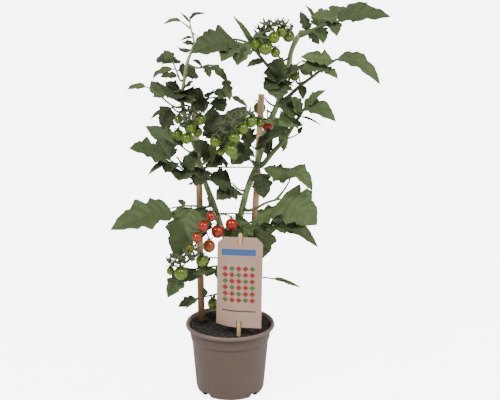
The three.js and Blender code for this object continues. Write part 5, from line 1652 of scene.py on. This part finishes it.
# %% Model the trusses
TRUSS_SEEDS = 90
FRUIT_SEEDS = 7
SPIN_SEED = 60
TILT_SEED = 70
UPRIGHT = Vector((0, 0, 1))
FRUIT_AXIS = Vector((0, 0.1, 1)).normalized()
FRUIT_STRETCH = 1.04
FRUITLET_RADIUS = 2.2
STAR_LIFT = 0.7
RIPE_STAR_LIFT = 1.2
STAR_SPREAD = 0.8
STAR_GROWTH = 0.025
WITHERED_SPREAD = 1.15
WITHERED_CURL = 2.8
WITHERED_TILT = 2.2
PEDICEL_RADIUS = 1
PEDICEL_KNEE = 5
PEDICEL_KNEE_AT = 0.55
PEDICEL_SUNK = 1.3
PEDICEL_STEPS = (0, 0.2, 0.4, 0.5, 0.6, 0.8, 1)
PEDICEL_SWELL = (1, 0.85, 0.95, 1.45, 0.95, 0.9, 1.5, 1.6)


def fruit_frame(spec, lift, seed):
    """The turn and place of something on the fruit's axis, so many millimetres above its middle."""
    turn = UPRIGHT.rotation_difference(FRUIT_AXIS).to_matrix().to_4x4()
    spun = turn @ Matrix.Rotation(chance(seed + SPIN_SEED) * 2 * math.pi, 4, "Z")
    if spec["radius"] == 0:
        spun = spun @ Matrix.Rotation((chance(seed + TILT_SEED) - 0.5) * WITHERED_TILT, 4, "X")
    return Matrix.Translation(seen(*spec["centre"]) + FRUIT_AXIS * lift * MM) @ spun


def hang_fruit(spec, seed):
    """A copy of the fruit in its place."""
    twin = copy_of(model_ball, "fruit")
    size = spec["radius"] * MM
    twin.data.transform(fruit_frame(spec, 0, seed) @ Matrix.Diagonal((size, size, size * FRUIT_STRETCH, 1)))
    turning = twin.data.attributes.new("turning", "FLOAT", "POINT")
    turning.data.foreach_set("value", [float(spec["turning"])] * len(twin.data.vertices))
    return twin


def fruit_crown(spec):
    """How far above the fruit's middle its star sits."""
    lift = RIPE_STAR_LIFT if spec["ripe"] or spec["radius"] == 0 else STAR_LIFT
    return spec["radius"] * FRUIT_STRETCH + lift


def hang_star(spec, seed):
    """A copy of the star on its fruit, wider on a bigger one, and more curled on a withered flower."""
    twin = copy_of(model_calyx, "calyx")
    spread, curl = STAR_SPREAD + STAR_GROWTH * spec["radius"], 1
    if spec["radius"] == 0:
        spread, curl = WITHERED_SPREAD, WITHERED_CURL
    scale = Matrix.Diagonal((spread * MM, spread * MM, curl * MM, 1))
    twin.data.transform(fruit_frame(spec, fruit_crown(spec), seed) @ scale)
    return twin


def pedicel(spec, start):
    """The line and the radii of a fruit's stalk, which swells at its knuckle."""
    crown = seen(*spec["centre"]) + FRUIT_AXIS * fruit_crown(spec) * MM
    knee = start.lerp(crown, PEDICEL_KNEE_AT) + FRUIT_AXIS * PEDICEL_KNEE * MM
    points = [start * (1 - t) ** 2 + knee * 2 * t * (1 - t) + crown * t**2 for t in PEDICEL_STEPS]
    points.append(crown - FRUIT_AXIS * PEDICEL_SUNK * MM)
    return Path(points), [PEDICEL_RADIUS * swell for swell in PEDICEL_SWELL]


def model_truss(name, carrier, stalk, fruits, seed):
    """The truss's stalks with their stars, its unripe fruit as one piece, and each ripe fruit by itself."""
    points = [seen(*place) for place in stalk]
    path = Path([leaders[carrier].nearest(points[0]), *points])
    lines = [(path, taper(path, STALK_RADIUS, STALK_TIP_RADIUS))]
    stars, unripe, ripe = [], [], []
    for i, spec in enumerate(fruits):
        one_seed = seed + i * FRUIT_SEEDS
        lines.append(pedicel(spec, path.at(spec["at"])))
        stars.append(hang_star(spec, one_seed))
        if spec["radius"] == 0:
            stars.append(hang_fruit({**spec, "radius": FRUITLET_RADIUS}, one_seed))
        else:
            (ripe if spec["ripe"] else unripe).append(hang_fruit(spec, one_seed))
    stalks = joined([bars("stalks", lines), *stars], f"{name}_stalks")
    return stalks, unripe, ripe


# %% [markdown]
# The fruit's skin is smooth and waxy, so it is glossy under a clear coat. Unripe, it is dark green round the
# dimple and paler towards its foot, with fine pale specks. Ripe, it is an even red, a little orange at the
# shoulder. The ball's UV map tells how far up it is, and the turning mark leads from one to the other.

# %% Finish the fruit
FRUIT_SHOULDER = colour("#183004")
FRUIT_FOOT = colour("#4e6408")
FRUIT_SPECK = colour("#5e7214")
RED_SHOULDER = colour("#8a2204")
RED_FOOT = colour("#841404")
CALYX_GREEN = colour("#2f381f")
CALYX_PALE = colour("#4a5437")
SHOULDER_FROM = 0.25
SHOULDER_TO = 0.95


def fruit_skin(name):
    material, tree, shader, place = new_material(
        name, 0.3, Specular_IOR_Level=0.4, Coat_Weight=0.15, Coat_Roughness=0.08,
        Subsurface_Weight=0.05, Subsurface_Radius=(0.004, 0.002, 0.001), Subsurface_Scale=1.0,
    )
    lay = tree.nodes.new("ShaderNodeUVMap").outputs[0]
    span = {0: parts_of(tree, lay)[1], 1: SHOULDER_FROM, 2: SHOULDER_TO}
    height = add_node(tree, "ShaderNodeMapRange", span, interpolation_type="SMOOTHSTEP").outputs[0]
    green = blended(tree, height, FRUIT_FOOT, FRUIT_SHOULDER)
    specked, _ = mottled(tree, place, 1500.0, green, FRUIT_SPECK, contrast=0.8)
    clouded, cloud = mottled(tree, place, 120.0, specked, green, contrast=1.6)
    red = blended(tree, height, RED_FOOT, RED_SHOULDER)
    turning = add_node(tree, "ShaderNodeAttribute", attribute_name="turning").outputs["Fac"]
    paint(tree, shader, blended(tree, turning, clouded, red), ranged(tree, cloud, 0.18, 0.28))
    roughen(tree, shader, place, 500.0, 0.06, 0.1)
    return material


unripe_skin = fruit_skin("unripe_skin")
ripe_skin = fruit_skin("ripe_skin")
calyx_skin = plant_skin("calyx_skin", CALYX_GREEN, CALYX_PALE, roughness=0.65)

# %% Make and dress every truss
fruit_count = 0
for index, (name, (carrier, stalk, fruits)) in enumerate(TRUSSES.items()):
    stalks, unripe, ripe = model_truss(name, carrier, stalk, fruits, index * TRUSS_SEEDS)
    dress(stalks, name, "stem", calyx_skin, smooth=60)
    if unripe:
        dress(joined(unripe, f"{name}_unripe"), name, "unripe_fruit", unripe_skin, smooth=180)
    for i, ball in enumerate(ripe):
        node = f"{name}_tomato_{i + 1}"
        ball.name = f"ripe_{node}"
        dress(ball, node, "ripe_fruit", ripe_skin, smooth=180)
    fruit_count += len([spec for spec in fruits if spec["radius"]])
for model in (model_ball, model_calyx):
    bpy.data.objects.remove(model)
print("trusses:", len(TRUSSES), "fruit:", fruit_count)

# %% [markdown]
# ## Floor and light
# The plant stands on a plain pale floor that curves up behind it. The sky gives most of the light, as in a
# light tent, and two lamps above and in front put twin highlights on the fruit. A wide dim lamp at the right
# makes that side a little lighter, which shows how round the pot is.

# %% Build the studio
FLOOR_SIZE = 24
WALL_AT = 4
WALL_HEIGHT = 5
WALL_SWEEP = 2
PAPER_GLOW = 5.5
SKY_STRENGTH = 0.6
AIM = Vector((0, 0, 0.3))
LAMPS = {
    "lamp_left": ((-1.9, -2.3, 3.3), 0.45, 150),
    "lamp_right": ((1.7, -2.3, 3.3), 0.45, 120),
    "lamp_side": ((2.6, -0.7, 1.1), 1.6, 22),
}


def model_backdrop():
    """A wide floor, most of it in front of the plant, with a wall behind it that it curves into."""
    deselect()
    bpy.ops.mesh.primitive_plane_add(size=FLOOR_SIZE, location=(0, WALL_AT - FLOOR_SIZE / 2, 0))
    apply_place()
    backdrop = bpy.context.object
    bpy.ops.object.mode_set(mode="EDIT")
    bpy.ops.mesh.select_all(action="DESELECT")
    bpy.ops.object.mode_set(mode="OBJECT")
    for edge in backdrop.data.edges:
        edge.select = all(backdrop.data.vertices[i].co.y > 0 for i in edge.vertices)
    bpy.ops.object.mode_set(mode="EDIT")
    bpy.ops.mesh.select_mode(type="EDGE")
    bpy.ops.mesh.extrude_region_move(TRANSFORM_OT_translate={"value": (0, 0, WALL_HEIGHT)})
    bpy.ops.object.mode_set(mode="OBJECT")
    modify(backdrop, "BEVEL", width=WALL_SWEEP, segments=16, affect="EDGES")
    bpy.ops.object.shade_smooth()
    backdrop.name = "backdrop"
    return backdrop


def backdrop_paper():
    """Pale paper that glows for the camera alone, so it looks white and lights nothing."""
    material, tree, shader, place = new_material("backdrop_paper", 0.9, Specular_IOR_Level=0.1)
    paper, _ = mottled(tree, place, 2.0, colour("#f4f4f2"), colour("#fafaf8"))
    paint(tree, shader, paper)
    shader.inputs["Emission Color"].default_value = (1, 1, 1, 1)
    sight = tree.nodes.new("ShaderNodeLightPath").outputs["Is Camera Ray"]
    tree.links.new(times(tree, sight, PAPER_GLOW), shader.inputs["Emission Strength"])
    return material


def light_sky():
    world = bpy.data.worlds.new("soft_sky")
    bpy.context.scene.world = world
    world.use_nodes = True
    sky = world.node_tree.nodes["Background"]
    sky.inputs["Color"].default_value = (1, 1, 1, 1)
    sky.inputs["Strength"].default_value = SKY_STRENGTH


backdrop = model_backdrop()
backdrop.data.materials.append(backdrop_paper())
light_sky()
for name, (place, size, power) in LAMPS.items():
    bpy.ops.object.light_add(type="AREA", location=place)
    lamp = bpy.context.object
    lamp.name = name
    lamp.data.size = size
    lamp.data.energy = power
    lamp.rotation_euler = (AIM - Vector(place)).to_track_quat("-Z", "Y").to_euler()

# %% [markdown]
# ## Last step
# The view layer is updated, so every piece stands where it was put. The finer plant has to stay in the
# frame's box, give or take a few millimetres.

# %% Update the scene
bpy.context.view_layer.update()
